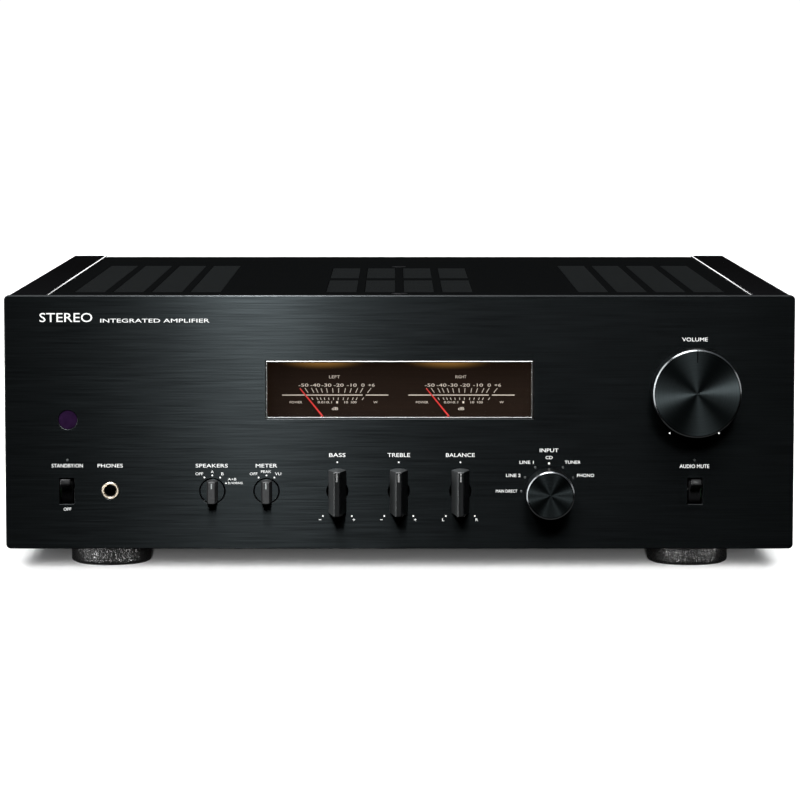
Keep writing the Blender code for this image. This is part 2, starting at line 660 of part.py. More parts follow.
def jack_block():
    """Line inputs and outputs: two rows of phono sockets and the ground stud on one block."""
    plate = block_box("jack_block", PLASTIC, (0.0450, JACK_CENTRE[1]), (0.1400, 0.0200),
                      (OUTSIDE_REAR, OUTSIDE_REAR + 0.0015))
    base = OUTSIDE_REAR + 0.0005
    tip = OUTSIDE_REAR + 0.0085
    parts = [block_box("jack_boss", PLASTIC, JACK_CENTRE, JACK_BOSS,
                       (REAR_FRONT - 0.008, base))]
    profile = [(0, base), (JACK_R, base), (JACK_R, tip), (0.0017, tip),
               (0.0017, base + 0.0020), (0, base + 0.0020)]
    for column in range(JACK_COLUMNS):
        for z in JACK_ROWS:
            about = (JACK_START - column * JACK_PITCH, 0, z)
            parts.append(turned("phono_socket", GOLD, profile, about, "Y", 10))
    parts.append(rod("ground_stud", GOLD, 0.0015, base, OUTSIDE_REAR + 0.012,
                     (GROUND_AT[0], 0, GROUND_AT[1]), "Y", 12))
    combine(plate, "UNION", parts)
    bore = bored(0.0015, 16)
    near, far = OUTSIDE_REAR + 0.0030, OUTSIDE_REAR + 0.0105
    nut = [(bore, near), (0.0050, near), (0.0050, far), (bore, far), (bore, near)]
    turned("ground_nut", GOLD, nut, (GROUND_AT[0], 0, GROUND_AT[1]), "Y", 16)


def speaker_posts():
    """Eight binding posts on one block: a stud each, and a cap that screws down on it."""
    plate = block_box("speaker_terminal_block", PLASTIC, POST_CENTRE, (0.1400, 0.0180),
                      (OUTSIDE_REAR, OUTSIDE_REAR + 0.0020))
    base = OUTSIDE_REAR + 0.0010
    parts = [block_box("post_boss", PLASTIC, POST_CENTRE, POST_BOSS,
                       (REAR_FRONT - 0.008, base))]
    seat = OUTSIDE_REAR + 0.0038
    profile = [(0, base), (0.0068, base), (0.0068, seat), (POST_STUD_R, seat),
               (POST_STUD_R, POST_REAR), (0, POST_REAR)]
    cap_start, cap_end = seat + 0.0006, POST_REAR - 0.0006
    bore = bored(POST_STUD_R, 16)
    cap = [(bore, cap_start), (0.0052, cap_start), (POST_CAP_R, cap_start + 0.0015),
           (POST_CAP_R, cap_end - 0.0008), (POST_CAP_R - 0.0008, cap_end), (bore, cap_end),
           (bore, cap_start)]
    for side, start in POST_START.items():
        for number in range(POST_COUNT):
            about = (start - number * POST_PITCH, 0, POST_Z)
            parts.append(turned("post_stud", GOLD, profile, about, "Y", 12))
            turned(f"speaker_cap_{side}_{number + 1}", GOLD, cap, about, "Y", 16)
    combine(plate, "UNION", parts)


def ac_inlet():
    """Three-pin mains inlet: a flanged socket, open to the rear, with its pins inside."""
    rim = OUTSIDE_REAR + 0.0020
    floor = rim - 0.0160
    socket = block_box("ac_inlet", PLASTIC, INLET_AT, INLET_BOSS, (floor - 0.003, rim - 0.001))
    flange = block_box("inlet_flange", PLASTIC, INLET_AT, (0.0250, 0.0120),
                       (OUTSIDE_REAR, rim))
    combine(socket, "UNION", [flange])
    recess = block_box("inlet_recess", STEEL, INLET_AT, (0.0122, 0.0083), (floor, rim + 0.01))
    combine(socket, "DIFFERENCE", [recess])
    pins = []
    for x, z in ((-0.007, -0.002), (0.007, -0.002), (0.0, 0.002)):
        centre = (INLET_AT[0] + x, INLET_AT[1] + z)
        pins.append(block_box("inlet_pin", STEEL, centre, (0.001, 0.002),
                              (floor - 0.001, floor + 0.0105)))
    combine(socket, "UNION", pins)


def standby_slider():
    """Small slide switch: a finger tab in the rear panel's slot on a plate behind it."""
    x, z = SLIDER_AT
    plate_back = REAR_FRONT - GAP
    slider = box("standby_slider", PLASTIC, (-0.0070, plate_back - 0.0012, -0.0045),
                 (0.0070, plate_back, 0.0045), (x, 0, z))
    tab = box("slider_tab", PLASTIC, (-0.0020, plate_back - 0.0006, -0.0015),
              (0.0020, REAR_SKIN + 0.0016, 0.0015), (x, 0, z))
    combine(slider, "UNION", [tab])


# ---- inside -------------------------------------------------------------------------------
def power_transformer():
    """Ring-core transformer in a steel can, held by one bolt down its middle."""
    top = 0.0950
    turned("power_transformer", CASE_GREY, [
        (0, FLOOR_Z), (0.060, FLOOR_Z), (0.062, FLOOR_Z + 0.002), (0.062, top - 0.004),
        (0.058, top), (0.012, top), (0.012, top + 0.003), (0, top + 0.003)],
        (0, -0.075, 0), "Z", 28)


def filter_capacitors(board_top):
    for name, side in (("left", -1), ("right", 1)):
        base = board_top + GAP
        turned(f"filter_capacitor_{name}", PLASTIC, [
            (0, base), (0.0265, base), (0.0275, base + 0.001), (0.0275, base + 0.0700),
            (0.0255, base + 0.0720), (0, base + 0.0720)],
            (side * 0.034, 0.040, 0), "Z", 20)


def main_board():
    """Power and signal board at the rear, on four stand-offs, with relays and coils."""
    low, high = 0.0240, 0.0256
    board = box("main_board", BOARD, (-0.1050, 0.0080, low), (0.1050, 0.1960, high))
    parts = []
    for x in (-0.095, 0.095):
        for y in (0.020, 0.184):
            parts.append(rod("stand_off", STEEL, 0.003, FLOOR_Z, low + 0.0008, (x, y, 0),
                             "Z", 8))
    for number in range(4):
        x = -0.075 + number * 0.050
        parts.append(box("relay", PLASTIC, (x - 0.009, 0.150, high - 0.0008),
                         (x + 0.009, 0.178, high + 0.018)))
        parts.append(rod("small_capacitor", PLASTIC, 0.008, high - 0.0008, high + 0.030,
                         (x, 0.105, 0), "Z", 12))
    combine(board, "UNION", parts)
    return high


def heatsinks():
    """Finned aluminium blocks under the side vents, fins standing upright for the air."""
    start, end, count, fin = -0.150, 0.100, 14, 0.002
    root, tip, base = 0.1240, 0.1840, 0.1170
    pitch = (end - start - fin) / (count - 1)
    for name, side in (("left", -1), ("right", 1)):
        outline = []
        for number in range(count):
            y = start + number * pitch
            outline += [(side * root, y), (side * tip, y), (side * tip, y + fin),
                        (side * root, y + fin)]
        outline += [(side * base, end), (side * base, start)]
        prism(f"heatsink_{name}", FIN_METAL, outline, "Z", FLOOR_Z, 0.1460)


def build():
    front_panel()
    sub_panel()
    bottom_plate()
    top_cover()
    vent_mesh()
    cover_screws()
    side_panels()
    feet()
    meter_window()
    meter_dial()
    meter_movements()
    meter_needles()
    round_knobs()
    volume_and_input_controls()
    tone_knobs()
    selector_knobs()
    levers()
    front_control_board()
    phones_jack()
    windows_and_lights()
    input_light_guide()
    rear_panel()
    jack_block()
    speaker_posts()
    ac_inlet()
    standby_slider()
    power_transformer()
    filter_capacitors(main_board())
    heatsinks()


build()
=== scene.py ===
"""Looks of a full-width integrated amplifier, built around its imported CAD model.

Metres, in the CAD's frame: +X to the right seen from the front, the front panel faces -Y, +Z up.
Places come from the CAD nodes' boxes and the joints. A piece named NODE_detail stands for the CAD
node of that name.
"""

import json
import math

import bmesh
import bpy
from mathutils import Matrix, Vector


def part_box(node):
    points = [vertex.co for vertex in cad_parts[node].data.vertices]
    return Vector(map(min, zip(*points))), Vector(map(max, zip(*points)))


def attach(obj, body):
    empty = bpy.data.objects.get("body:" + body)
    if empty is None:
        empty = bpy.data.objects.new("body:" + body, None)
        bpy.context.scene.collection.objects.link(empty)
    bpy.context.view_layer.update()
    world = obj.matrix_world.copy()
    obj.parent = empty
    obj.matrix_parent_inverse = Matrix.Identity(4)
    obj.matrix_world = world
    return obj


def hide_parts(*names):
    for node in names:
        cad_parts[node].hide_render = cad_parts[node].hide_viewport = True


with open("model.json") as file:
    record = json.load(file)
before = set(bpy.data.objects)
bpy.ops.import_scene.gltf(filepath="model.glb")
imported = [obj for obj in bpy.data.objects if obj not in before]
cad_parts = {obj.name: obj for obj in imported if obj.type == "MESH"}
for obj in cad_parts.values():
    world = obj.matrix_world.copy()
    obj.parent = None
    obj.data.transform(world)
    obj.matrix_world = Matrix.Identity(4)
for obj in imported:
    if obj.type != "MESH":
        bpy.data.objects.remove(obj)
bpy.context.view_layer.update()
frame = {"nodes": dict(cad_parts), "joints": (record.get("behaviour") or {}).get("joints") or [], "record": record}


def low(node):
    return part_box(node)[0]


def high(node):
    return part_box(node)[1]


def middle(node):
    return (low(node) + high(node)) / 2


def extent(node):
    """The middle and the half size of a CAD node's box."""
    lo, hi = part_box(node)
    return (lo + hi) / 2, (hi - lo) / 2


def placed(name, data):
    """A new object in the scene."""
    obj = bpy.data.objects.new(name, data)
    bpy.context.scene.collection.objects.link(obj)
    return obj


def evaluated_mesh(obj):
    """A copy of the object's mesh as its modifiers or its font leave it."""
    bpy.context.view_layer.update()
    return bpy.data.meshes.new_from_object(
        obj.evaluated_get(bpy.context.evaluated_depsgraph_get()))


def mesh_from(bm, name):
    bmesh.ops.recalc_face_normals(bm, faces=bm.faces)
    mesh = bpy.data.meshes.new(name)
    bm.to_mesh(mesh)
    bm.free()
    return mesh


BODY_OF = {node: body for body, nodes in frame["record"]["behaviour"]["bodies"].items()
           for node in nodes}
SLOT_OF = {row["node"]: row["material_slot"] for row in frame["record"]["subparts"]}
PIVOT_OF = {joint["child"]: Vector(joint["pos_m"]) for joint in frame["joints"]
            if joint.get("pos_m")}

# ---- places, from the frame ----------------------------------------------------------------
FACE = low("front_panel").y
PANEL_BACK = high("front_panel").y
BEHIND = high("sub_panel").y + 0.0003
COVER_TOP = high("top_cover").z
COVER_UNDER = low("top_cover").z
REAR_INNER = low("rear_panel").y
REAR_SKIN = high("rear_panel").y
OUTSIDE = REAR_SKIN + 0.0003
DIAL_FRONT = low("meter_dial").y
FEET = [name for name in frame["nodes"] if name.startswith("foot_")]

TONE_KNOBS = ("bass_knob", "treble_knob", "balance_knob")
SELECTOR_KNOBS = ("speakers_knob", "meter_knob")
LEVERS = ("power_lever", "mute_lever")
REAR = ("rear_", "jack_block", "ground_nut", "speaker_", "ac_inlet", "inlet_", "standby_slider")
SOURCE_DEGREES = (-90, -60, -30, 0, 30, 60)
SOURCE_RADIUS = 0.0153
CHOSEN_SOURCE = 0

SHAFT_R = 0.003
SHAFT_HOLE_R = 0.006
SELECTOR_DISC_R = 0.0067
SELECTOR_HOLE_R = 0.0072
SLOT_HALF = (0.00415, 0.0073)
JACK_RING_R = 0.0047
JACK_BORE_R = 0.003175
SENSOR_R = 0.00515
LIGHT_R = 0.0005
PIN_R = 0.0005
PRINT = 0.00004

# ---- materials -----------------------------------------------------------------------------
def node(tree, kind, inputs=None, **settings):
    """One shader node. An input is either a constant or another node's output."""
    made = tree.nodes.new("ShaderNode" + kind)
    for name, value in settings.items():
        setattr(made, name, value)
    for socket, value in (inputs or {}).items():
        if isinstance(value, bpy.types.NodeSocket):
            tree.links.new(value, made.inputs[socket])
        else:
            made.inputs[socket].default_value = value
    return made


def new_look(name, colour, metallic, roughness, sockets=None):
    made = bpy.data.materials.new(name)
    made.use_nodes = True
    shader = made.node_tree.nodes["Principled BSDF"]
    shader.inputs["Base Color"].default_value = (*colour, 1.0)
    shader.inputs["Metallic"].default_value = metallic
    shader.inputs["Roughness"].default_value = roughness
    for socket, value in (sockets or {}).items():
        shader.inputs[socket].default_value = value
    return made, made.node_tree, shader


def stretched(tree, scale):
    """Object coordinates times a scale for each axis, in features per metre."""
    coordinates = node(tree, "TexCoord").outputs["Object"]
    return node(tree, "Mapping", {"Vector": coordinates, "Scale": scale}).outputs["Vector"]


def noise(tree, scale, detail=3.0):
    vector = stretched(tree, scale)
    return node(tree, "TexNoise", {"Vector": vector, "Scale": 1.0, "Detail": detail}).outputs[0]


def between(tree, factor, first, second, start=0.3, end=0.7):
    """A number that goes from first to second as factor goes from start to end."""
    return node(tree, "MapRange", {
        "Value": factor, "From Min": start, "From Max": end,
        "To Min": first, "To Max": second}).outputs["Result"]


def shades(tree, factor, first, second, start=0.3, end=0.7):
    """A colour that goes from first to second as factor goes from start to end."""
    ramp = node(tree, "ValToRGB", {"Fac": factor})
    stops = ramp.color_ramp.elements
    stops[0].position, stops[1].position = start, end
    stops[0].color, stops[1].color = (*first, 1.0), (*second, 1.0)
    return ramp.outputs["Color"]


def tint(tree, shader, factor, first, second, start=0.3, end=0.7, socket="Base Color"):
    tree.links.new(shades(tree, factor, first, second, start, end), shader.inputs[socket])


def roughen(tree, shader, factor, first, second):
    tree.links.new(between(tree, factor, first, second), shader.inputs["Roughness"])


def scaled(colour, factor):
    return tuple(channel * factor for channel in colour)


def raise_surface(tree, shader, height, depth):
    bump = node(tree, "Bump", {"Height": height, "Distance": depth, "Strength": 1.0})
    tree.links.new(bump.outputs["Normal"], shader.inputs["Normal"])


def grained(name, colour, metallic, roughness, scale, tone=0.2, spread=0.06, depth=0.0,
            sockets=None):
    """A material whose colour, roughness and height follow one noise, stretched by axis."""
    made, tree, shader = new_look(name, colour, metallic, roughness, sockets)
    factor = noise(tree, scale)
    tint(tree, shader, factor, scaled(colour, 1 - tone), scaled(colour, 1 + tone))
    roughen(tree, shader, factor, roughness - spread, roughness + spread)
    if depth:
        raise_surface(tree, shader, factor, depth)
    return made


def cells(tree, scale, feature="F1"):
    """Distance inside a Voronoi cell, for leather grain and zinc spangle."""
    vector = stretched(tree, (scale, scale, scale))
    return node(tree, "TexVoronoi", {"Vector": vector, "Scale": 1.0},
                feature=feature).outputs["Distance"]


BRUSHED = {"Anisotropic": 0.9, "Anisotropic Rotation": 0.25}


def hairline(name, colour, roughness):
    """Anodised aluminium brushed along X: long streaks and slow clouding."""
    made, tree, shader = new_look(name, colour, 1.0, roughness, BRUSHED)
    streaks = noise(tree, (30, 1, 2400), 3.0)
    clouds = noise(tree, (12, 12, 12), 2.0)
    factor = node(tree, "MixRGB", {0: 0.25, 1: streaks, 2: clouds}).outputs[0]
    tint(tree, shader, factor, scaled(colour, 0.72), scaled(colour, 1.3), 0.32, 0.68)
    roughen(tree, shader, streaks, roughness - 0.02, roughness + 0.02)
    raise_surface(tree, shader, streaks, 0.0000004)
    along = node(tree, "CombineXYZ", {"X": 1.0, "Y": 0.0, "Z": 0.0}).outputs["Vector"]
    tree.links.new(along, shader.inputs["Tangent"])
    return made


def spun(name, centre, colour, roughness):
    """Aluminium turned on a lathe about a Y axis through centre: fine rings that catch light."""
    made, tree, shader = new_look(name, colour, 1.0, roughness, BRUSHED)
    coordinates = node(tree, "TexCoord").outputs["Object"]
    offset = node(tree, "VectorMath", {0: coordinates, 1: centre}, operation="SUBTRACT")
    flat = node(tree, "VectorMath", {0: offset.outputs[0], 1: (1, 0, 1)}, operation="MULTIPLY")
    radius = node(tree, "VectorMath", {0: flat.outputs[0]}, operation="LENGTH").outputs["Value"]
    rings = node(tree, "TexNoise", {"W": radius, "Scale": 2600.0, "Detail": 3.0},
                 noise_dimensions="1D").outputs[0]
    tint(tree, shader, rings, scaled(colour, 0.86), scaled(colour, 1.14))
    roughen(tree, shader, rings, roughness - 0.015, roughness + 0.015)
    tangent = node(tree, "Tangent", direction_type="RADIAL", axis="Y")
    tree.links.new(tangent.outputs["Tangent"], shader.inputs["Tangent"])
    return made


def leather(name, colour, roughness):
    """Moulded leather grain: rounded cells with creases between them, the colour painted darker into the creases
    as painted shade.
    """
    made, tree, shader = new_look(name, colour, 0.0, roughness, {"Coat Weight": 0.3})
    crease_depth_and_shade = cells(tree, 900, "DISTANCE_TO_EDGE")
    fine = noise(tree, (2500, 2500, 2500), 2.0)
    # Darker towards the cell edges: painted shade in the creases. The height below is the creases' real depth.
    tint(tree, shader, crease_depth_and_shade, scaled(colour, 0.4), scaled(colour, 1.3), 0.0, 0.15)
    roughen(tree, shader, fine, roughness - 0.05, roughness + 0.1)
    height = between(tree, crease_depth_and_shade, 0.0, 1.0, 0.0, 0.25)
    raise_surface(tree, shader, height, 0.0001)
    return made


def zinc(name, colour, roughness):
    """Zinc-plated sheet with a faint spangle."""
    made, tree, shader = new_look(name, colour, 1.0, roughness)
    spangle = cells(tree, 160)
    tint(tree, shader, spangle, scaled(colour, 0.8), scaled(colour, 1.1), 0.0, 0.9)
    roughen(tree, shader, noise(tree, (300, 300, 300)), roughness - 0.08, roughness + 0.08)
    return made


def circuit(name, colour):
    """Green solder mask over a pattern of tracks."""
    made, tree, shader = new_look(name, colour, 0.0, 0.4, {"Coat Weight": 0.3})
    vector = stretched(tree, (260, 260, 260))
    tracks = node(tree, "TexBrick", {
        "Vector": vector, "Scale": 1.0, "Mortar Size": 0.06, "Color1": (*colour, 1),
        "Color2": (*scaled(colour, 0.8), 1), "Mortar": (*scaled(colour, 2.2), 1)})
    tree.links.new(tracks.outputs["Color"], shader.inputs["Base Color"])
    raise_surface(tree, shader, tracks.outputs["Fac"], 0.00004)
    return made


# Size of each painted pool of lamp light on the dial, across and down.
PAINTED_POOL_SIZE = (0.029, 0.0062)
# Emission of the dial outside the pools: a faint painted glow over the whole dial.
DIAL_PAINTED_BASE_GLOW = (0.0085, 0.0042, 0.0022)


def dial_with_painted_lamp_light(name, colour, pool_xs, top, painted_pool_colour):
    """Matt dial with faint horizontal lines, and painted lamp light: an emission that glows faintly over the whole
    dial and brightens to a warm painted pool under each meter's lamp.
    """
    made, tree, shader = new_look(name, colour, 0.0, 0.65, {"Specular IOR Level": 0.05})
    lines = noise(tree, (18, 18, 2600), 3.0)
    tint(tree, shader, lines, scaled(colour, 0.7), scaled(colour, 1.35))
    coordinates = node(tree, "TexCoord").outputs["Object"]
    painted_light = None
    for pool_x in pool_xs:
        away = node(tree, "VectorMath", {0: coordinates, 1: (pool_x, 0, top)},
                    operation="SUBTRACT").outputs[0]
        flat = node(tree, "VectorMath", {
            0: away, 1: (1 / PAINTED_POOL_SIZE[0], 0, 1 / PAINTED_POOL_SIZE[1])}, operation="MULTIPLY").outputs[0]
        reach = node(tree, "VectorMath", {0: flat}, operation="LENGTH").outputs["Value"]
        painted_pool = node(tree, "MapRange", {
            "Value": reach, "From Min": 0.0, "From Max": 1.0, "To Min": 1.0, "To Max": 0.0},
            interpolation_type="SMOOTHERSTEP").outputs["Result"]
        painted_light = painted_pool if painted_light is None else node(
            tree, "Math", {0: painted_light, 1: painted_pool}, operation="ADD").outputs[0]
    # Painted lamp light: the emission goes from the faint glow up to the warm colour in each pool.
    tint(tree, shader, painted_light, DIAL_PAINTED_BASE_GLOW, painted_pool_colour, 0.0, 1.0, "Emission Color")
    shader.inputs["Emission Strength"].default_value = 1.0
    return made


def lit(name, colour, emission, strength):
    """Clear plastic lit from behind, a little uneven."""
    made, tree, shader = new_look(name, colour, 0.0, 0.3, {"Emission Strength": strength})
    factor = noise(tree, (900, 900, 900))
    tint(tree, shader, factor, scaled(emission, 0.85), emission, socket="Emission Color")
    return made


def clear_glass(name):
    """Thin window glass: nearly all light goes through, with a faint sheen on its face."""
    made = grained(name, (0.02, 0.02, 0.02), 0.0, 0.06, (40, 40, 40), 0.1, 0.03)
    shader = made.node_tree.nodes["Principled BSDF"]
    shader.inputs["Alpha"].default_value = 0.06
    return made


ANODISED = hairline("brushed_black_anodised", (0.0060, 0.0072, 0.0076), 0.30)
POLISHED = grained("polished_aluminium", (0.86, 0.87, 0.88), 1.0, 0.16, (30, 30, 900), 0.05, 0.05)
BEZEL = grained("polished_meter_frame", (0.62, 0.63, 0.62), 1.0, 0.2, (30, 30, 900), 0.03, 0.02)
CHAMFER = grained("polished_dark_chamfer", (0.019, 0.0203, 0.0212), 1.0, 0.36, (40, 40, 900),
                   0.04, 0.02)
CONTROL = grained("satin_dark_aluminium", (0.045, 0.048, 0.049), 0.25, 0.45, (900, 900, 40),
                  0.18, 0.05, 0.000004, {"Specular IOR Level": 0.25})
PAINT = grained("fine_textured_black_paint", (0.0024, 0.0026, 0.0027), 0.0, 0.7,
                (1400, 1400, 1400), 0.3, 0.08, 0.00003, {"Specular IOR Level": 0.0})
GRILLE = grained("vent_grille_paint", (0.0082, 0.009, 0.0092), 0.0, 0.5,
                 (1400, 1400, 1400), 0.25, 0.08, 0.00002, {"Specular IOR Level": 0.02})
LACQUER = grained("black_piano_lacquer", (0.004, 0.004, 0.0045), 0.0, 0.07, (60, 60, 60),
                  0.05, 0.01, 0.0000008, {"Specular IOR Level": 0.22})
STEEL = zinc("zinc_plated_steel", (0.55, 0.56, 0.57), 0.38)
FINS = grained("extruded_aluminium", (0.6, 0.61, 0.63), 1.0, 0.42, (900, 900, 20), 0.12, 0.08)
PLASTIC = grained("moulded_black_plastic", (0.013, 0.013, 0.014), 0.0, 0.42,
                  (1800, 1800, 1800), 0.3, 0.06, 0.00002, {"Specular IOR Level": 0.2})
FOOT = leather("leather_grained_foot", (0.004, 0.004, 0.004), 0.27)
PAD = grained("foot_pad_rubber", (0.005, 0.005, 0.005), 0.0, 0.8, (1500, 1500, 1500), 0.3, 0.08,
              0.00005)
GLASS = clear_glass("meter_window_glass")
# Red needle paint with an emission: a painted glow of the meter lamps' light on the needle.
NEEDLE_PAINTED_GLOW = grained("red_needle_paint", (0.60, 0.035, 0.03), 0.0, 0.4, (2000, 2000, 2000), 0.1, 0.05,
                 sockets={"Emission Color": (0.60, 0.035, 0.03, 1), "Emission Strength": 0.3})
GOLD = grained("gold_plate", (0.86, 0.66, 0.36), 1.0, 0.22, (500, 500, 500), 0.08, 0.06)
PALE_GOLD = grained("pale_gold_ring", (0.95, 0.84, 0.68), 1.0, 0.35, (500, 500, 500), 0.05, 0.05)
SMOKED = grained("smoked_purple_lens", (0.016, 0.006, 0.024), 0.0, 0.12, (300, 300, 300), 0.2,
                 0.04, sockets={"Specular IOR Level": 0.3})
CASE = grained("transformer_can_paint", (0.09, 0.09, 0.1), 0.5, 0.5, (700, 700, 700), 0.2, 0.08,
               0.00003)
LEVER = grained("satin_black_lever", (0.020, 0.0205, 0.021), 0.25, 0.4, (900, 900, 900),
                0.15, 0.05, sockets={"Specular IOR Level": 0.2})
BOARD = circuit("green_circuit_board", (0.012, 0.036, 0.015))
FLANK = grained("black_knob_flank", (0.004, 0.0042, 0.0043), 1.0, 0.35, (900, 60, 900), 0.2, 0.05)
# Matt black with no reflection, for the block set into the volume knob's notch: painted shade of the groove.
NOTCH_PAINTED_SHADE = grained("black_notch_paint", (0.0015, 0.0015, 0.0015), 0.0, 0.8, (900, 900, 900), 0.2,
                0.05, sockets={"Specular IOR Level": 0.0})
RIM = grained("dark_polished_rim", (0.16, 0.17, 0.175), 1.0, 0.2, (900, 900, 900), 0.06, 0.04)
SCREW = grained("black_oxide_steel", (0.03, 0.03, 0.032), 0.9, 0.4, (900, 900, 900), 0.25, 0.08)
WHITE_PRINT = grained("white_silk_print", (0.8, 0.81, 0.8), 0.0, 0.6, (3000, 3000, 3000), 0.06,
                      0.05)
DIM_LENS = grained("unlit_lens", (0.14, 0.15, 0.15), 0.0, 0.3, (2500, 2500, 2500), 0.15, 0.05)
LIT_LENS = lit("lit_source_lens", (0.9, 0.9, 0.88), (1.0, 0.98, 0.92), 0.9)
LAMP = lit("warm_lamp_bar", (0.9, 0.7, 0.4), (1.0, 0.55, 0.2), 0.6)
# Pale dial print with an emission: a painted glow of the meter lamps' light on the print.
DIAL_PRINT_PAINTED_GLOW = grained("pale_dial_print", (0.62, 0.55, 0.47), 0.0, 0.6, (3000, 3000, 3000), 0.08,
                     0.05, sockets={"Emission Color": (0.62, 0.53, 0.45, 1),
                                    "Emission Strength": 0.55})
RED_RING = grained("red_insulator", (0.42, 0.02, 0.02), 0.0, 0.4, (1500, 1500, 1500), 0.15, 0.05)
WHITE_RING = grained("white_insulator", (0.7, 0.7, 0.68), 0.0, 0.4, (1500, 1500, 1500), 0.08,
                     0.05)
# The dial's own brown-black, with painted lamp light given by emission.
DIAL_WITH_PAINTED_LIGHT = dial_with_painted_lamp_light("brown_black_dial", (0.0076, 0.0043, 0.0026),
                  (middle("meter_needle_left").x, middle("meter_needle_right").x),
                  high("meter_bezel").z, (0.27, 0.132, 0.028))

LOOK_OF_SLOT = {
    "anodised": ANODISED, "control_metal": CONTROL, "cover_paint": PAINT,
    "side_lacquer": LACQUER, "bright_trim": POLISHED, "steel_sheet": STEEL,
    "fin_metal": FINS, "black_plastic": PLASTIC, "foot_rubber": FOOT, "meter_glass": GLASS,
    "dial_print": DIAL_WITH_PAINTED_LIGHT, "needle_red": NEEDLE_PAINTED_GLOW, "gold_plate": GOLD, "smoked_lens": SMOKED,
    "light_pipe": LAMP, "circuit_board": BOARD, "case_steel": CASE, "screw_black": SCREW,
}

# ---- shapes --------------------------------------------------------------------------------
DIRECTIONS = {
    "X": (Vector((1, 0, 0)), Vector((0, 1, 0)), Vector((0, 0, 1))),
    "Y": (Vector((0, 1, 0)), Vector((0, 0, 1)), Vector((1, 0, 0))),
    "Z": (Vector((0, 0, 1)), Vector((1, 0, 0)), Vector((0, 1, 0))),
}


def paint_new(bm, look):
    """Gives the faces made since the last call the material of that number."""
    for face in bm.faces:
        if not face.tag:
            face.material_index = look
            face.tag = True


def skin(bm, rings, looks=(0,), closed=True, loop=False):
    """Joins neighbouring rings with faces. looks holds a material number for each band."""
    made = [[bm.verts.new(point) for point in ring] for ring in rings]
    pairs = list(zip(made, made[1:]))
    if loop:
        pairs.append((made[-1], made[0]))
    for band, (first, second) in enumerate(pairs):
        count = max(len(first), len(second))
        for i in range(count):
            j = (i + 1) % count
            corners = [first[i % len(first)], first[j % len(first)],
                       second[j % len(second)], second[i % len(second)]]
            corners = list(dict.fromkeys(corners))
            if len(corners) > 2:
                face = bm.faces.new(corners)
                face.material_index = looks[min(band, len(looks) - 1)]
                face.tag = True
    if closed and not loop:
        for ring, look in ((made[0], looks[0]), (made[-1], looks[-1])):
            if len(ring) > 2:
                face = bm.faces.new(ring)
                face.material_index = look
                face.tag = True
    return made


def turned(bm, profile, centre, axis="Y", looks=(0,), segments=96, loop=False, flutes=0,
           flute_depth=0.0):
    """Spins (radius, distance along the axis) points round the axis through centre."""
    along_axis, u, v = DIRECTIONS[axis]
    centre = Vector(centre)
    centre -= along_axis * centre.dot(along_axis)
    rings = []
    for radius, along in profile:
        count = 1 if radius < 1e-7 else segments
        ring = []
        for i in range(count):
            angle = math.tau * i / count
            reach = radius * (1 - flute_depth * (0.5 + 0.5 * math.cos(flutes * angle)))
            side = u * math.cos(angle) + v * math.sin(angle)
            ring.append(centre + along_axis * along + side * reach)
        rings.append(ring)
    skin(bm, rings, looks, loop=loop)


def block(bm, lo, hi, rounding=0.0, segments=3, look=0):
    """A box between two corners with rounded edges. Bevelling clears the other faces' tags."""
    known = list(bm.faces)
    made = bmesh.ops.create_cube(bm, size=1.0)["verts"]
    for vert in made:
        for i in range(3):
            vert.co[i] = lo[i] if vert.co[i] < 0 else hi[i]
    if rounding:
        edges = list({edge for vert in made for edge in vert.link_edges})
        bmesh.ops.bevel(bm, geom=edges, offset=rounding, segments=segments, profile=0.5,
                        affect="EDGES")
    for face in known:
        face.tag = True
    paint_new(bm, look)


def circle(u, v, radius, segments=64):
    """Outline as a function of how far it is grown."""
    def outline(grow=0.0):
        return [(u + (radius + grow) * math.cos(math.tau * i / segments),
                 v + (radius + grow) * math.sin(math.tau * i / segments))
                for i in range(segments)]
    return outline


def rounded(u, v, half_u, half_v, corner, steps=6):
    """Rectangle with round corners, as a function of how far it is grown."""
    def outline(grow=0.0):
        points = []
        for quarter, (su, sv) in enumerate(((1, 1), (-1, 1), (-1, -1), (1, -1))):
            for i in range(steps + 1):
                angle = math.pi / 2 * (quarter + i / steps)
                points.append((u + su * (half_u - corner) + (corner + grow) * math.cos(angle),
                               v + sv * (half_v - corner) + (corner + grow) * math.sin(angle)))
        return points
    return outline


def flat_ring(outline, axis, along):
    place = {"X": lambda u, v: (along, u, v), "Y": lambda u, v: (u, along, v),
             "Z": lambda u, v: (u, v, along)}[axis]
    return [Vector(place(u, v)) for u, v in outline]


EDGE_STEPS = 2


def edge_levels(front, back, rounding):
    """(how far let in, place along the axis) down the rounded edge of a plate."""
    sign = 1 if back > front else -1
    arc = [(rounding * (1 - math.sin(math.pi / 2 * i / EDGE_STEPS)),
            rounding * (1 - math.cos(math.pi / 2 * i / EDGE_STEPS)))
           for i in range(EDGE_STEPS + 1)]
    return ([(inset, front + sign * depth) for inset, depth in arc]
            + [(inset, back - sign * depth) for inset, depth in reversed(arc)])


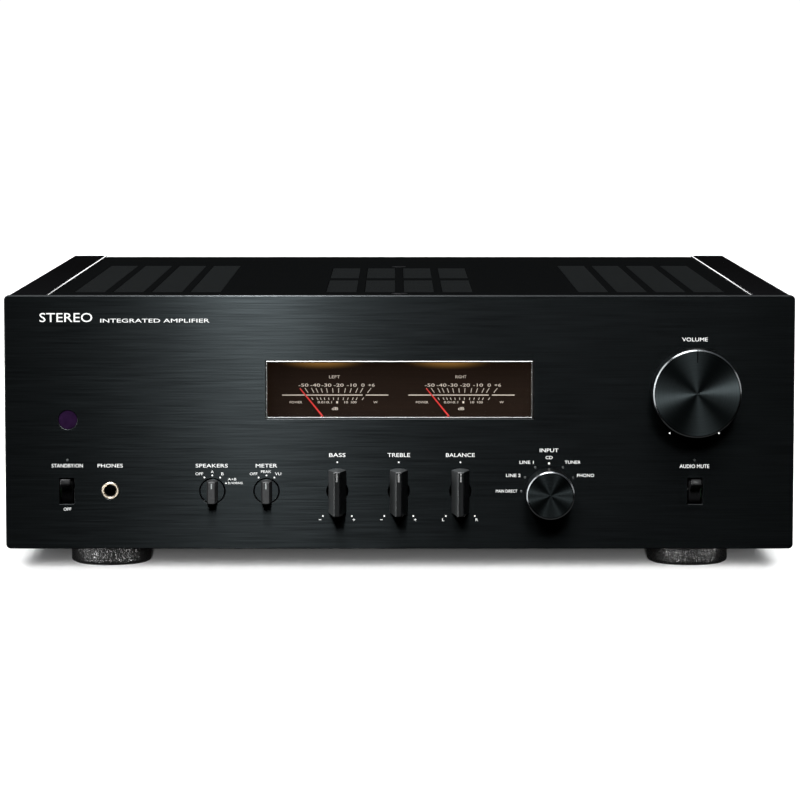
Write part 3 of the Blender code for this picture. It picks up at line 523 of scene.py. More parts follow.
def plate(bm, outline, holes, axis, front, back, rounding, hole_rounding=0.00015,
          looks=(0, 0)):
    """A sheet with holes and rounded edges. looks are its faces' and its edges' materials."""
    rims = {0: [], 1: []}
    for shape, amount, sign in [(outline, rounding, -1)] + [
            (hole, hole_rounding, 1) for hole in holes]:
        rings = [flat_ring(shape(sign * inset), axis, along)
                 for inset, along in edge_levels(front, back, amount)]
        made = skin(bm, rings, (looks[1],), closed=False)
        for end, ring in ((0, made[0]), (1, made[-1])):
            rims[end] += [bm.edges.get(pair) for pair in zip(ring, ring[1:] + ring[:1])]
    for edges in rims.values():
        bmesh.ops.triangle_fill(bm, use_beauty=True, use_dissolve=False, edges=edges)
    paint_new(bm, looks[0])


def stroke(bm, start, end, width, y):
    """A thin printed line between two (x, z) points, standing proud of y towards -Y."""
    start, end = Vector((start[0], 0, start[1])), Vector((end[0], 0, end[1]))
    side = (end - start).normalized().cross(Vector((0, 1, 0))) * (width / 2)
    corners = [start - side, start + side, end + side, end - side]
    rings = [[point + Vector((0, along, 0)) for point in corners] for along in (y - PRINT, y)]
    skin(bm, rings)


def words(bm, entries, y, facing=-1):
    """Raised lettering. An entry is (text, x, z, height, width), centred on (x, z)."""
    for text, x, z, height, width in entries:
        curve = bpy.data.curves.new("word", "FONT")
        curve.body = text
        curve.extrude = 0.01
        curve.resolution_u = 3
        holder = placed("word", curve)
        mesh = evaluated_mesh(holder)
        across = [vert.co.x for vert in mesh.vertices]
        upright = [vert.co.y for vert in mesh.vertices]
        thick = [vert.co.z for vert in mesh.vertices]
        wide = width / (max(across) - min(across))
        tall = height / (max(upright) - min(upright))
        for vert in mesh.vertices:
            u = (vert.co.x - (max(across) + min(across)) / 2) * wide
            v = (vert.co.y - (max(upright) + min(upright)) / 2) * tall
            out = PRINT * (vert.co.z - min(thick)) / (max(thick) - min(thick))
            vert.co = (x - facing * u, y + facing * out, z + v)
        bm.from_mesh(mesh)
        bpy.data.objects.remove(holder)
        bpy.data.curves.remove(curve)
        bpy.data.meshes.remove(mesh)
    bmesh.ops.remove_doubles(bm, verts=bm.verts, dist=1e-6)
    paint_new(bm, 0)


def finished(name, bm, looks, body, slot, stands_for=(), bevel=0.0, sharp=40):
    """Turns the mesh into a piece: smooth shading, small edge rounding, body and finish."""
    mesh = mesh_from(bm, name)
    for look in looks:
        mesh.materials.append(look)
    mesh.shade_smooth()
    mesh.set_sharp_from_angle(angle=math.radians(sharp))
    obj = placed(name, mesh)
    if bevel:
        rounding = obj.modifiers.new("Edges", "BEVEL")
        rounding.width = bevel
        rounding.segments = 2
        rounding.limit_method = "ANGLE"
        rounding.angle_limit = math.radians(sharp)
        rounding.harden_normals = True
    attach(obj, body)
    if stands_for:
        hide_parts(*stands_for)
    return obj


def detail(*nodes):
    """The names of the pieces that are shown instead of CAD nodes."""
    return [node_name + "_detail" for node_name in nodes]


def stand_in(node_name, bm, looks, bevel=0.0, sharp=40):
    """The detailed piece that is shown instead of one CAD node."""
    return finished(*detail(node_name), bm, looks, BODY_OF[node_name], SLOT_OF[node_name],
                    (node_name,), bevel, sharp)


def carve(obj, bm):
    """Cuts a closed mesh away from a piece."""
    cutter = placed("cutter", mesh_from(bm, "cutter"))
    cut = obj.modifiers.new("Cut", "BOOLEAN")
    cut.object = cutter
    cut.solver = "EXACT"
    whole = evaluated_mesh(obj)
    obj.modifiers.remove(cut)
    obj.data = whole
    bpy.data.objects.remove(cutter)


# ---- front panel and its lettering ----------------------------------------------------------
def at(node_name):
    """The (x, z) of a control on the front, from its joint or its box."""
    place = PIVOT_OF.get(BODY_OF[node_name], middle(node_name))
    return place.x, place.z


def source_pins():
    x, z = at("input_knob")
    for degrees in SOURCE_DEGREES:
        angle = math.radians(degrees)
        yield degrees, (x + SOURCE_RADIUS * math.sin(angle), z + SOURCE_RADIUS * math.cos(angle))


PANEL_CORNER_R = 0.0026
DOT_R = 0.00045


def front_panel():
    centre, half = extent("front_panel")
    outline = rounded(centre.x, centre.z, half.x, half.z, PANEL_CORNER_R, 10)
    bezel, size = middle("meter_bezel"), high("meter_bezel") - low("meter_bezel")
    holes = [rounded(bezel.x, bezel.z, size.x / 2 + 0.0003, size.z / 2 + 0.0003, 0.0001, 1)]
    for name in ("volume_knob", "input_knob", *TONE_KNOBS):
        holes.append(circle(*at(name), SHAFT_HOLE_R))
    for name in SELECTOR_KNOBS:
        holes.append(circle(*at(name), SELECTOR_HOLE_R))
    for name in LEVERS:
        holes.append(rounded(*at(name), *SLOT_HALF, 0.0006))
    holes.append(circle(*at("phones_jack"), JACK_RING_R + 0.0002))
    holes.append(circle(*at("remote_sensor_window"), SENSOR_R + 0.0002))
    for name in ("power_light", "mute_light"):
        holes.append(circle(*at(name), LIGHT_R + 0.0001, 24))
    for _, place in source_pins():
        holes.append(circle(*place, PIN_R + 0.0001, 24))
    bm = bmesh.new()
    plate(bm, outline, holes, "Y", FACE, PANEL_BACK, 0.0005, 0.00018, looks=(0, 1))
    stand_in("front_panel", bm, [ANODISED, CHAMFER], sharp=15)


def dot(bm, x, z):
    turned(bm, [(0, FACE - PRINT), (DOT_R, FACE - PRINT), (DOT_R, FACE), (0, FACE)], (x, 0, z),
           segments=20)


def dots_round(bm, centre, radius, degrees):
    for angle in degrees:
        dot(bm, centre[0] + radius * math.sin(math.radians(angle)),
            centre[1] + radius * math.cos(math.radians(angle)))


def words_round(centre, entries):
    """Entries placed by their offset from a control's centre."""
    return [(text, centre[0] + dx, centre[1] + dz, height, width)
            for text, dx, dz, height, width in entries]


def front_lettering():
    bm = bmesh.new()
    entries = [("STEREO", -0.1834, 0.1448, 0.0050, 0.0290),
               ("INTEGRATED AMPLIFIER", -0.1345, 0.1431, 0.0021, 0.0600)]
    entries += words_round(at("volume_knob"), [("VOLUME", 0, 0.0283, 0.0021, 0.0141)])
    entries += words_round(at("mute_lever"), [("AUDIO MUTE", -0.0004, 0.0138, 0.0020, 0.0163)])
    entries += words_round(at("power_lever"), [("STANDBY/ON", 0.0003, 0.0141, 0.0020, 0.0172),
                                               ("OFF", 0.0002, -0.0100, 0.0016, 0.0042)])
    entries += words_round(at("phones_jack"), [("PHONES", 0, 0.0139, 0.0020, 0.0139)])
    entries += words_round(at("speakers_knob"), [
        ("SPEAKERS", -0.0003, 0.0141, 0.0020, 0.0177), ("OFF", -0.0072, 0.0096, 0.0015, 0.0042),
        ("A", 0, 0.0108, 0.0015, 0.0015), ("B", 0.0056, 0.0096, 0.0015, 0.0014),
        ("A+B", 0.0109, 0.0066, 0.0013, 0.0046), ("BI-WIRING", 0.0127, 0.0045, 0.0012, 0.0080)])
    entries += words_round(at("meter_knob"), [
        ("METER", 0, 0.0141, 0.0020, 0.0118), ("OFF", -0.0071, 0.0096, 0.0015, 0.0042),
        ("PEAK", -0.0002, 0.0108, 0.0014, 0.0056), ("VU", 0.0064, 0.0096, 0.0015, 0.0034)])
    for name, width in zip(TONE_KNOBS, (0.0090, 0.0124, 0.0159)):
        entries += words_round(at(name), [(name.split("_")[0].upper(), 0, 0.0200, 0.0021, width)])
    for name in TONE_KNOBS[:2]:
        entries += words_round(at(name), [("-", -0.0096, -0.0159, 0.0003, 0.0014),
                                          ("+", 0.0091, -0.0159, 0.0014, 0.0014)])
    entries += words_round(at("balance_knob"), [("L", -0.0094, -0.0159, 0.0015, 0.0012),
                                                ("R", 0.0091, -0.0159, 0.0015, 0.0014)])
    entries += words_round(at("input_knob"), [
        ("INPUT", 0, 0.0226, 0.0020, 0.0103), ("CD", 0, 0.0186, 0.0017, 0.0038),
        ("LINE 1", -0.0124, 0.0160, 0.0017, 0.0077), ("TUNER", 0.0130, 0.0160, 0.0017, 0.0087),
        ("LINE 2", -0.0197, 0.0087, 0.0017, 0.0080), ("PHONO", 0.0202, 0.0087, 0.0017, 0.0094),
        ("MAIN DIRECT", -0.0234, 0.0, 0.0016, 0.0118)])
    words(bm, entries, FACE)
    dots_round(bm, at("volume_knob"), 0.0271, (-150, 150))
    for name in TONE_KNOBS:
        dots_round(bm, at(name), 0.0160, (-150, 0, 150))
    dots_round(bm, at("speakers_knob"), 0.0087, (-30, 0, 30, 60))
    dots_round(bm, at("meter_knob"), 0.0087, (-30, 0, 30))
    finished("front_lettering", bm, [WHITE_PRINT], "chassis", "anodised")


# ---- meters ---------------------------------------------------------------------------------
def meter_bezel():
    """A polished frame: one small section carried round the window with mitred corners."""
    lo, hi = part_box("meter_bezel")
    section = [(0, hi.y), (0, lo.y + 0.0002), (0.0002, lo.y), (0.0007, lo.y),
               (0.0009, lo.y + 0.0003), (0.0009, hi.y)]
    rings = [[(lo.x + inset, along, lo.z + inset), (hi.x - inset, along, lo.z + inset),
              (hi.x - inset, along, hi.z - inset), (lo.x + inset, along, hi.z - inset)]
             for inset, along in section]
    bm = bmesh.new()
    skin(bm, rings, loop=True)
    stand_in("meter_bezel", bm, [BEZEL], bevel=0.00008, sharp=30)


TICK_DEGREES = (-39, -35, -29, -24.5, -19, -12.5, -4.8, 3, 11.5, 18.5, 25.5, 30.6, 37.7)
DECIBELS = (("-50", -0.0182), ("-40", -0.0117), ("-30", -0.0055), ("-20", 0.0013),
            ("-10", 0.0085), ("0", 0.0147), ("+6", 0.0194))
WATTS = (("0.01", -0.0083), ("0.1", -0.0040), ("1", 0.0004), ("10", 0.0054), ("100", 0.0096))
NUMBER_Z, LINE_Z, WATT_Z = 0.1068, 0.1013, 0.0973
TICK_Z, LOW_TICK_Z = (0.1026, 0.1051), (0.0986, 0.0999)


def dial_prints():
    """The printed scale of each meter: decibels above the line and watts below it."""
    for side in ("left", "right"):
        pivot = PIVOT_OF[f"needle_{side}"]
        bm = bmesh.new()
        entries = [(side.upper(), pivot.x - 0.0010, 0.1114, 0.0016, 0.0060)]
        for text, dx in DECIBELS:
            entries.append((text, pivot.x + dx, NUMBER_Z, 0.0017, 0.0018 * len(text)))
        for text, dx in WATTS:
            entries.append((text, pivot.x + dx, WATT_Z, 0.0012, 0.0010 * len(text)))
        entries += [("POWER", pivot.x - 0.0224, WATT_Z, 0.0012, 0.0068),
                    ("W", pivot.x + 0.0216, WATT_Z, 0.0012, 0.0022),
                    ("dB", pivot.x - 0.0008, 0.0938, 0.0016, 0.0034)]
        words(bm, entries, DIAL_FRONT)
        for band, degrees in ((TICK_Z, TICK_DEGREES), (LOW_TICK_Z, TICK_DEGREES[1:])):
            for angle in degrees:
                ends = [(pivot.x + (z - pivot.z) * math.tan(math.radians(angle)), z)
                        for z in band]
                stroke(bm, *ends, 0.00030, DIAL_FRONT)
        for start, end in ((-0.0300, 0.0145), (0.0162, 0.0287)):
            stroke(bm, (pivot.x + start, LINE_Z), (pivot.x + end, LINE_Z), 0.00048, DIAL_FRONT)
        finished(f"dial_scale_{side}", bm, [DIAL_PRINT_PAINTED_GLOW], "chassis", "dial_print")


# ---- knobs and levers -----------------------------------------------------------------------
NOTCH_HALF = 0.0003


def round_knob(node_name, look, chamfer, notch=0.0):
    """Spun face with a fine step inside its polished rim, straight flank, and the shaft."""
    lo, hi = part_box(node_name)
    radius = (hi.x - lo.x) / 2
    x, z = at(node_name)
    back = FACE - 0.001
    face_r = radius - chamfer
    profile = [(0, lo.y + 0.00008), (face_r - 0.00035, lo.y + 0.00008),
               (face_r - 0.00020, lo.y + 0.00025), (face_r - 0.00005, lo.y + 0.00008),
               (face_r, lo.y), (radius, lo.y + chamfer), (radius, back - 0.0004),
               (radius - 0.0004, back), (SHAFT_R, back), (SHAFT_R, hi.y), (0, hi.y)]
    bm = bmesh.new()
    turned(bm, profile, (x, 0, z), looks=(0, 2, 2, 2, 1, 2), segments=160)
    knob = stand_in(node_name, bm, [look, RIM, FLANK], sharp=25)
    if notch:
        bm = bmesh.new()
        block(bm, (x - NOTCH_HALF, lo.y - 0.002, z + radius - notch),
              (x + NOTCH_HALF, lo.y + 0.0008, z + radius + 0.002))
        carve(knob, bm)
        # A matt black block set into the carved notch: painted shade that darkens the groove.
        bm = bmesh.new()
        block(bm, (x - NOTCH_HALF, lo.y + 0.0003, z + radius - notch),
              (x + NOTCH_HALF, lo.y + 0.0010, z + radius - 0.0008))
        finished(node_name + "_mark", bm, [NOTCH_PAINTED_SHADE], BODY_OF[node_name], "black_plastic")


def strip_ring(half, radius, x, y, z, steps=10):
    """Outline of a strip cut out of a disc: two straight flanks and two arcs."""
    reach = math.asin(half / radius)
    angles = [centre + reach * (2 * i / steps - 1) for centre in (0, math.pi)
              for i in range(steps + 1)]
    return [(x + radius * math.sin(angle), y, z + radius * math.cos(angle))
            for angle in angles]


def pointer(bm, x, y, z_low, z_high, width, look):
    """A painted line let into a knob's face, standing just proud of it."""
    block(bm, (x - width / 2, y - PRINT, z_low), (x + width / 2, y + 0.0001, z_high), look=look)


def tone_knobs():
    for node_name in TONE_KNOBS:
        lo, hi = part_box(node_name)
        x, z = at(node_name)
        radius = (hi.z - lo.z) / 2
        levels = [(0.0049, radius, FACE - 0.001), (0.0018, radius - 0.0003, lo.y + 0.0005),
                  (0.0013, radius - 0.0008, lo.y)]
        bm = bmesh.new()
        skin(bm, [strip_ring(half, r, x, y, z, 16) for half, r, y in levels])
        turned(bm, [(0, FACE - 0.002), (SHAFT_R, FACE - 0.002), (SHAFT_R, hi.y), (0, hi.y)],
               (x, 0, z), segments=32)
        top = z + radius - 0.0008
        pointer(bm, x, lo.y, top - 0.0050, top - 0.0004, 0.0009, 1)
        stand_in(node_name, bm, [CONTROL, WHITE_PRINT], bevel=0.00012, sharp=20)


def selector_knobs():
    for node_name in SELECTOR_KNOBS:
        lo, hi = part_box(node_name)
        x, z = at(node_name)
        rim = FACE + 0.0002
        disc = [(0, rim), (SELECTOR_DISC_R - 0.0002, rim), (SELECTOR_DISC_R, rim + 0.0002),
                (SELECTOR_DISC_R, rim + 0.0040), (SHAFT_R, rim + 0.0040), (SHAFT_R, hi.y),
                (0, hi.y)]
        levels = [(0.0031, 0.0064, FACE + 0.0012), (0.0031, 0.0064, FACE),
                  (0.0019, 0.0062, lo.y + 0.0004), (0.0016, 0.0058, lo.y)]
        bm = bmesh.new()
        turned(bm, disc, (x, 0, z), looks=(2,), segments=96)
        skin(bm, [strip_ring(half, r, x, y, z, 12) for half, r, y in levels])
        pointer(bm, x, lo.y, z + 0.0022, z + 0.0053, 0.0007, 1)
        stand_in(node_name, bm, [LEVER, DIM_LENS, ANODISED], bevel=0.0001, sharp=20)


LEVER_TILT = 18.5


def levers():
    """A drum on two stub pins, and a bat with rounded edges that reaches out of the slot."""
    for node_name in LEVERS:
        pivot = PIVOT_OF[BODY_OF[node_name]]
        bm = bmesh.new()
        drum = [(0, -0.0045), (0.001, -0.0045), (0.001, -0.0032), (0.0070, -0.0032),
                (0.0072, -0.0030), (0.0072, 0.0030), (0.0070, 0.0032), (0.001, 0.0032),
                (0.001, 0.0045), (0, 0.0045)]
        turned(bm, [(radius, pivot.x + along) for radius, along in drum], pivot, "X", (1,), 64)
        tilt = math.radians(LEVER_TILT)
        outward = Vector((0, -math.cos(tilt), math.sin(tilt)))
        upward = Vector((0, math.sin(tilt), math.cos(tilt)))
        rings = []
        for reach, half_x, half_up, corner in ((0.0040, 0.0029, 0.0021, 0.0005),
                                               (0.0186, 0.0029, 0.0017, 0.0005),
                                               (0.0190, 0.0027, 0.0015, 0.0005),
                                               (0.0192, 0.0024, 0.0012, 0.0004)):
            outline = rounded(0, 0, half_x, half_up, corner, 4)()
            rings.append([pivot + outward * reach + Vector((u, 0, 0)) + upward * v
                          for u, v in outline])
        skin(bm, rings)
        stand_in(node_name, bm, [LEVER, PLASTIC], sharp=50)


# ---- small front pieces ---------------------------------------------------------------------
def phones_jack():
    """Pale ring with a rounded lip, a stepped barrel with its contact, and the body behind."""
    lo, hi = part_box("phones_jack")
    x, z = at("phones_jack")
    front = lo.y
    ring = [(JACK_BORE_R, hi.y - 0.002), (JACK_BORE_R, front + 0.0012),
            (JACK_BORE_R + 0.0003, front + 0.0003), (JACK_BORE_R + 0.0006, front),
            (JACK_RING_R - 0.0003, front), (JACK_RING_R, front + 0.0003),
            (JACK_RING_R, BEHIND + 0.0004), (0.0074, BEHIND + 0.0004), (0.0074, hi.y),
            (0, hi.y), (0, hi.y - 0.002)]
    bm = bmesh.new()
    turned(bm, ring, (x, 0, z), looks=(1, 0, 0, 0, 0, 0, 1), segments=96)
    stand_in("phones_jack", bm, [PALE_GOLD, PLASTIC], sharp=30)


DOME = 0.00015


def domed_pin(bm, x, z, radius, front, flange_r, flange_end, look=0, segments=32):
    """A round lens that starts at the panel's face, with its flange behind the steel panel."""
    profile = [(0, front), (radius * 0.6, front + DOME * 0.3), (radius * 0.9, front + DOME * 0.7),
               (radius, front + DOME), (radius, BEHIND), (flange_r, BEHIND),
               (flange_r, flange_end), (0, flange_end)]
    turned(bm, profile, (x, 0, z), looks=(look,), segments=segments)


def windows_and_lights():
    for node_name, radius, flange_r, look in (
            ("remote_sensor_window", SENSOR_R, 0.0075, SMOKED),
            ("power_light", LIGHT_R, 0.0020, DIM_LENS), ("mute_light", LIGHT_R, 0.0020, DIM_LENS)):
        lo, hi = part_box(node_name)
        bm = bmesh.new()
        domed_pin(bm, *at(node_name), radius, lo.y, flange_r, hi.y, segments=64)
        stand_in(node_name, bm, [look], sharp=30)


def input_light_guide():
    """The clear ring behind the panel and its six pins. The chosen source's pin is lit."""
    lo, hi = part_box("input_light_guide")
    x, z = at("input_knob")
    outer = (hi.x - lo.x) / 2
    ring = [(0.0125, BEHIND), (outer, BEHIND), (outer, hi.y), (0.0125, hi.y)]
    bm = bmesh.new()
    turned(bm, ring, (x, 0, z), loop=True)
    for degrees, place in source_pins():
        look = 1 if degrees == CHOSEN_SOURCE else 0
        domed_pin(bm, *place, PIN_R, lo.y, PIN_R * 1.2, hi.y - 0.0002, look)
    stand_in("input_light_guide", bm, [DIM_LENS, LIT_LENS], sharp=30)


# ---- casing ---------------------------------------------------------------------------------
VENT_WIDTH, VENT_PITCH = 0.0172, 0.0217
VENT_GROUPS = ((0.1005, 4, ((0.046, 0.320),)), (0.0024, 2, ((0.046, 0.162), (0.182, 0.292))))
SLIT_PITCH, SLAT_WIDTH = 0.0030, 0.0017


def vent_windows():
    """(middle x, nearest y, farthest y) of every window in the cover."""
    for first, columns, rows in VENT_GROUPS:
        for column in range(columns):
            centre = first + column * VENT_PITCH + VENT_WIDTH / 2
            for near, far in rows:
                for side in (-1, 1):
                    yield side * centre, FACE + near, FACE + far


def top_cover():
    centre, half = extent("top_cover")
    holes = [rounded(x, (near + far) / 2, VENT_WIDTH / 2, (far - near) / 2, 0.0006, 3)
             for x, near, far in vent_windows()]
    for name in ("cover_screw_front", "cover_screw_rear"):
        screw = middle(name)
        holes.append(circle(screw.x, screw.y, 0.0050, 48))
    bm = bmesh.new()
    plate(bm, rounded(centre.x, centre.y, half.x, half.y, 0.0008, 4), holes, "Z", COVER_TOP,
          COVER_UNDER, 0.0003, 0.00025)
    stand_in("top_cover", bm, [PAINT], sharp=15)


def vent_grille():
    """Fine cross slats under each window, on a rim that holds them together."""
    lo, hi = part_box("vent_mesh")
    bm = bmesh.new()
    for x, near, far in vent_windows():
        rail = 0.0012
        for side in (-1, 1):
            edge = x + side * (VENT_WIDTH / 2 + rail / 2)
            block(bm, (edge - rail / 2 - 0.0004, near - 0.001, lo.z),
                  (edge + rail / 2, far + 0.001, hi.z))
        count = int((far - near) / SLIT_PITCH)
        pitch = (far - near) / count
        for number in range(count + 1):
            y = near + number * pitch
            if near + SLAT_WIDTH / 2 < y - SLAT_WIDTH / 2 and y + SLAT_WIDTH < far:
                block(bm, (x - VENT_WIDTH / 2 + 0.0002, y - SLAT_WIDTH / 2, hi.z - 0.0001),
                      (x + VENT_WIDTH / 2 - 0.0002, y + SLAT_WIDTH / 2, COVER_TOP - 0.0001))
            block(bm, (x - VENT_WIDTH / 2 - 0.0004, y - SLAT_WIDTH / 2, lo.z),
                  (x + VENT_WIDTH / 2 + 0.0004, y + SLAT_WIDTH / 2, hi.z))
    stand_in("vent_mesh", bm, [GRILLE])


def cover_screws():
    """Domed screw heads with a round recess."""
    radius, recess_r, shank_r = 0.00475, 0.0018, 0.0019
    for node_name in ("cover_screw_front", "cover_screw_rear"):
        centre, top = middle(node_name), high(node_name).z
        bm = bmesh.new()
        turned(bm, [(recess_r, top), (radius - 0.0004, top), (radius, top - 0.0003),
                    (radius * 0.45, top - 0.0012), (shank_r, top - 0.0016),
                    (shank_r, top - 0.0100), (0, top - 0.0100)], centre, "Z", segments=48)
        turned(bm, [(recess_r, top), (recess_r, top - 0.0011), (0, top - 0.0013)], centre, "Z",
               looks=(1,), segments=48)
        stand_in(node_name, bm, [SCREW, PLASTIC], sharp=30)


def side_panels():
    for side in ("left", "right"):
        bm = bmesh.new()
        block(bm, *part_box(f"side_panel_{side}"), 0.0015, 5)
        stand_in(f"side_panel_{side}", bm, [LACQUER], sharp=60)
        bm = bmesh.new()
        block(bm, *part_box(f"side_trim_{side}"), 0.00035, 4)
        stand_in(f"side_trim_{side}", bm, [POLISHED], sharp=60)


def feet():
    for end in ("front", "rear"):
        for side in ("left", "right"):
            node_name = f"foot_{end}_{side}"
            top, radius = high(node_name).z, (high(node_name).x - low(node_name).x) / 2
            profile = [(0, 0), (radius - 0.0022, 0), (radius - 0.0020, 0.0003),
                       (radius - 0.0018, 0.0006), (radius - 0.0008, 0.0007),
                       (radius - 0.0002, 0.0013), (radius, 0.0022), (radius, top - 0.0016),
                       (radius - 0.0003, top - 0.0007), (radius - 0.0010, top), (0, top)]
            bm = bmesh.new()
            turned(bm, profile, middle(node_name), "Z", (1, 1, 1, 0), 128)
            stand_in(node_name, bm, [FOOT, PAD], sharp=35)


# ---- rear -----------------------------------------------------------------------------------
POST_R, POST_PITCH, POST_COUNT = 0.0070, 0.028, 4
JACK_START, JACK_PITCH, JACK_COLUMNS = 0.152, 0.030, 8
JACK_ROWS = (0.110, 0.130)
JACK_CENTRE, JACK_BOSS = (0.0450, 0.120), (0.1150, 0.0165)
POST_CENTRE, POST_BOSS = (0.0280, 0.055), (0.1340, 0.0120)
INLET_BOSS = (0.0138, 0.0100)
REAR_SCREWS = [(x, z) for x in (-0.186, -0.110, 0.186) for z in (0.030, 0.146)]


def small_screws(name, places, y, radius=0.0026):
    """Cross-recessed screw heads on the outside of the rear."""
    bm = bmesh.new()
    for x, z in places:
        turned(bm, [(0, y), (radius, y), (radius, y + 0.0005), (radius * 0.7, y + 0.0011),
                    (0, y + 0.0013)], (x, 0, z), segments=32)
        for half_x, half_z in ((radius * 0.5, 0.0003), (0.0003, radius * 0.5)):
            block(bm, (x - half_x, y + 0.0009, z - half_z), (x + half_x, y + 0.00135, z + half_z),
                  look=1)
    finished(name, bm, [SCREW, PLASTIC], "chassis", "screw_black")


def rear_panel():
    centre, half = extent("rear_panel")
    inlet, slider = middle("ac_inlet"), middle("standby_slider")
    grow = 0.0003
    holes = [rounded(*JACK_CENTRE, JACK_BOSS[0] + grow, JACK_BOSS[1] + grow, 0.0005, 3),
             rounded(*POST_CENTRE, POST_BOSS[0] + grow, POST_BOSS[1] + grow, 0.0005, 3),
             rounded(inlet.x, inlet.z, INLET_BOSS[0] + grow, INLET_BOSS[1] + grow, 0.0005, 3),
             rounded(slider.x + 0.0025, slider.z, 0.0048, 0.0019, 0.0005, 3)]
    bm = bmesh.new()
    plate(bm, rounded(centre.x, centre.z, half.x, half.z, 0.0008, 4), holes, "Y", REAR_SKIN,
          REAR_INNER, 0.0002, 0.0002)
    stand_in("rear_panel", bm, [PAINT], sharp=15)
    small_screws("rear_panel_screws", REAR_SCREWS, REAR_SKIN)


def mounting_plate(bm, node_name, boss_centre, boss, corner=0.0015):
    """The flanged block of a group of connectors: a flat plate and the boss behind it."""
    centre, half = extent(node_name)
    top = OUTSIDE + 0.0018
    plate(bm, rounded(centre.x, centre.z, half.x, half.z, corner), [], "Y", top, OUTSIDE, 0.0004)
    block(bm, (boss_centre[0] - boss[0], low(node_name).y, boss_centre[1] - boss[1]),
          (boss_centre[0] + boss[0], OUTSIDE + 0.0005, boss_centre[1] + boss[1]))
    return top


def jack_block():
    """Phono sockets in gold shells, white above and red below, and the ground stud."""
    bm = bmesh.new()
    top = mounting_plate(bm, "jack_block", JACK_CENTRE, JACK_BOSS)
    tip = high("ground_nut").y - 0.0016
    for column in range(JACK_COLUMNS):
        for z, ring_look in zip(JACK_ROWS, (3, 2)):
            place = (JACK_START - column * JACK_PITCH, 0, z)
            turned(bm, [(0.0060, top - 0.0002), (0.0060, top + 0.0006), (0.0056, top + 0.0010),
                        (0.0044, top + 0.0010), (0.0044, top - 0.0002)], place,
                   looks=(ring_look,), segments=48, loop=True)
            shell = [(0.0033, top), (0.0041, top), (0.0041, tip - 0.0004), (0.0038, tip),
                     (0.0035, tip), (0.0033, tip - 0.0003)]
            turned(bm, shell, place, looks=(1,), segments=48, loop=True)
            insulator = [(0.0032, top), (0.0032, tip - 0.0006), (0.0017, tip - 0.0006),
                         (0.0017, top)]
            turned(bm, insulator, place, looks=(0,), segments=32, loop=True)
    nut = middle("ground_nut")
    turned(bm, [(0, top - 0.0005), (0.0015, top - 0.0005), (0.0015, OUTSIDE + 0.0116),
                (0.0012, OUTSIDE + 0.0120), (0, OUTSIDE + 0.0120)], nut, looks=(1,), segments=32)
    stand_in("jack_block", bm, [PLASTIC, GOLD, WHITE_RING, RED_RING], sharp=30)
    lo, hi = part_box("ground_nut")
    bm = bmesh.new()
    bore = 0.0016
    turned(bm, [(bore, lo.y), (0.0045, lo.y), (0.0050, lo.y + 0.0005), (0.0050, hi.y - 0.0005),
                (0.0045, hi.y), (bore, hi.y)], nut, segments=120, loop=True, flutes=30,
           flute_depth=0.04)
    stand_in("ground_nut", bm, [GOLD], sharp=30)


def post_places():
    """(node name, x, z, red or black) of each speaker post."""
    for side in ("right", "left"):
        for number in range(POST_COUNT):
            node_name = f"speaker_cap_{side}_{number + 1}"
            place = PIVOT_OF[BODY_OF[node_name]]
            yield node_name, place.x, place.z, number % 2


def speaker_posts():
    bm = bmesh.new()
    top = mounting_plate(bm, "speaker_terminal_block", POST_CENTRE, POST_BOSS)
    end = high("speaker_terminal_block").y
    seat = OUTSIDE + 0.0038
    for _, x, z, black in post_places():
        collar = [(0.0020, top - 0.0003), (0.0072, top - 0.0003), (0.0072, seat - 0.0006),
                  (0.0066, seat), (0.0020, seat)]
        turned(bm, collar, (x, 0, z), looks=(0 if black else 2,), segments=64, loop=True)
        turned(bm, [(0, top), (0.0019, top), (0.0019, end - 0.0003), (0.0016, end), (0, end)],
               (x, 0, z), looks=(1,), segments=32)
    stand_in("speaker_terminal_block", bm, [PLASTIC, GOLD, RED_RING], sharp=30)
    for node_name, x, z, _ in post_places():
        lo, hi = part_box(node_name)
        bore = 0.00215
        cap = [(bore, lo.y), (0.0050, lo.y), (0.0052, lo.y + 0.0012), (0.0066, lo.y + 0.0018),
               (POST_R, lo.y + 0.0023), (POST_R, hi.y - 0.0022), (0.0064, hi.y - 0.0016),
               (0.0064, hi.y - 0.0006), (0.0058, hi.y), (bore, hi.y)]
        bm = bmesh.new()
        turned(bm, cap, (x, 0, z), segments=144, loop=True, flutes=18, flute_depth=0.05)
        stand_in(node_name, bm, [GOLD], sharp=35)


def ac_inlet():
    """Mains inlet: flange with rounded ends, open recess and three flat pins."""
    lo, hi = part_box("ac_inlet")
    centre = middle("ac_inlet")
    recess = rounded(centre.x, centre.z, 0.0122, 0.0083, 0.0015)
    floor = hi.y - 0.0160
    bm = bmesh.new()
    plate(bm, rounded(centre.x, centre.z, 0.0250, 0.0120, 0.0040), [recess], "Y", hi.y, OUTSIDE,
          0.0005, 0.0003)
    plate(bm, rounded(centre.x, centre.z, *INLET_BOSS, 0.0012), [recess], "Y", OUTSIDE, floor,
          0.0001, 0.0001)
    plate(bm, rounded(centre.x, centre.z, *INLET_BOSS, 0.0012), [], "Y", floor, lo.y, 0.0001)
    for dx, dz in ((-0.007, -0.002), (0.007, -0.002), (0.0, 0.002)):
        x, z = centre.x + dx, centre.z + dz
        block(bm, (x - 0.001, floor - 0.0005, z - 0.002), (x + 0.001, floor + 0.0105, z + 0.002),
              0.0004, 2, look=1)
    stand_in("ac_inlet", bm, [PLASTIC, STEEL], sharp=30)
    small_screws("inlet_screws", [(centre.x - 0.0195, centre.z), (centre.x + 0.0195, centre.z)],
                 hi.y - 0.0002, 0.0022)


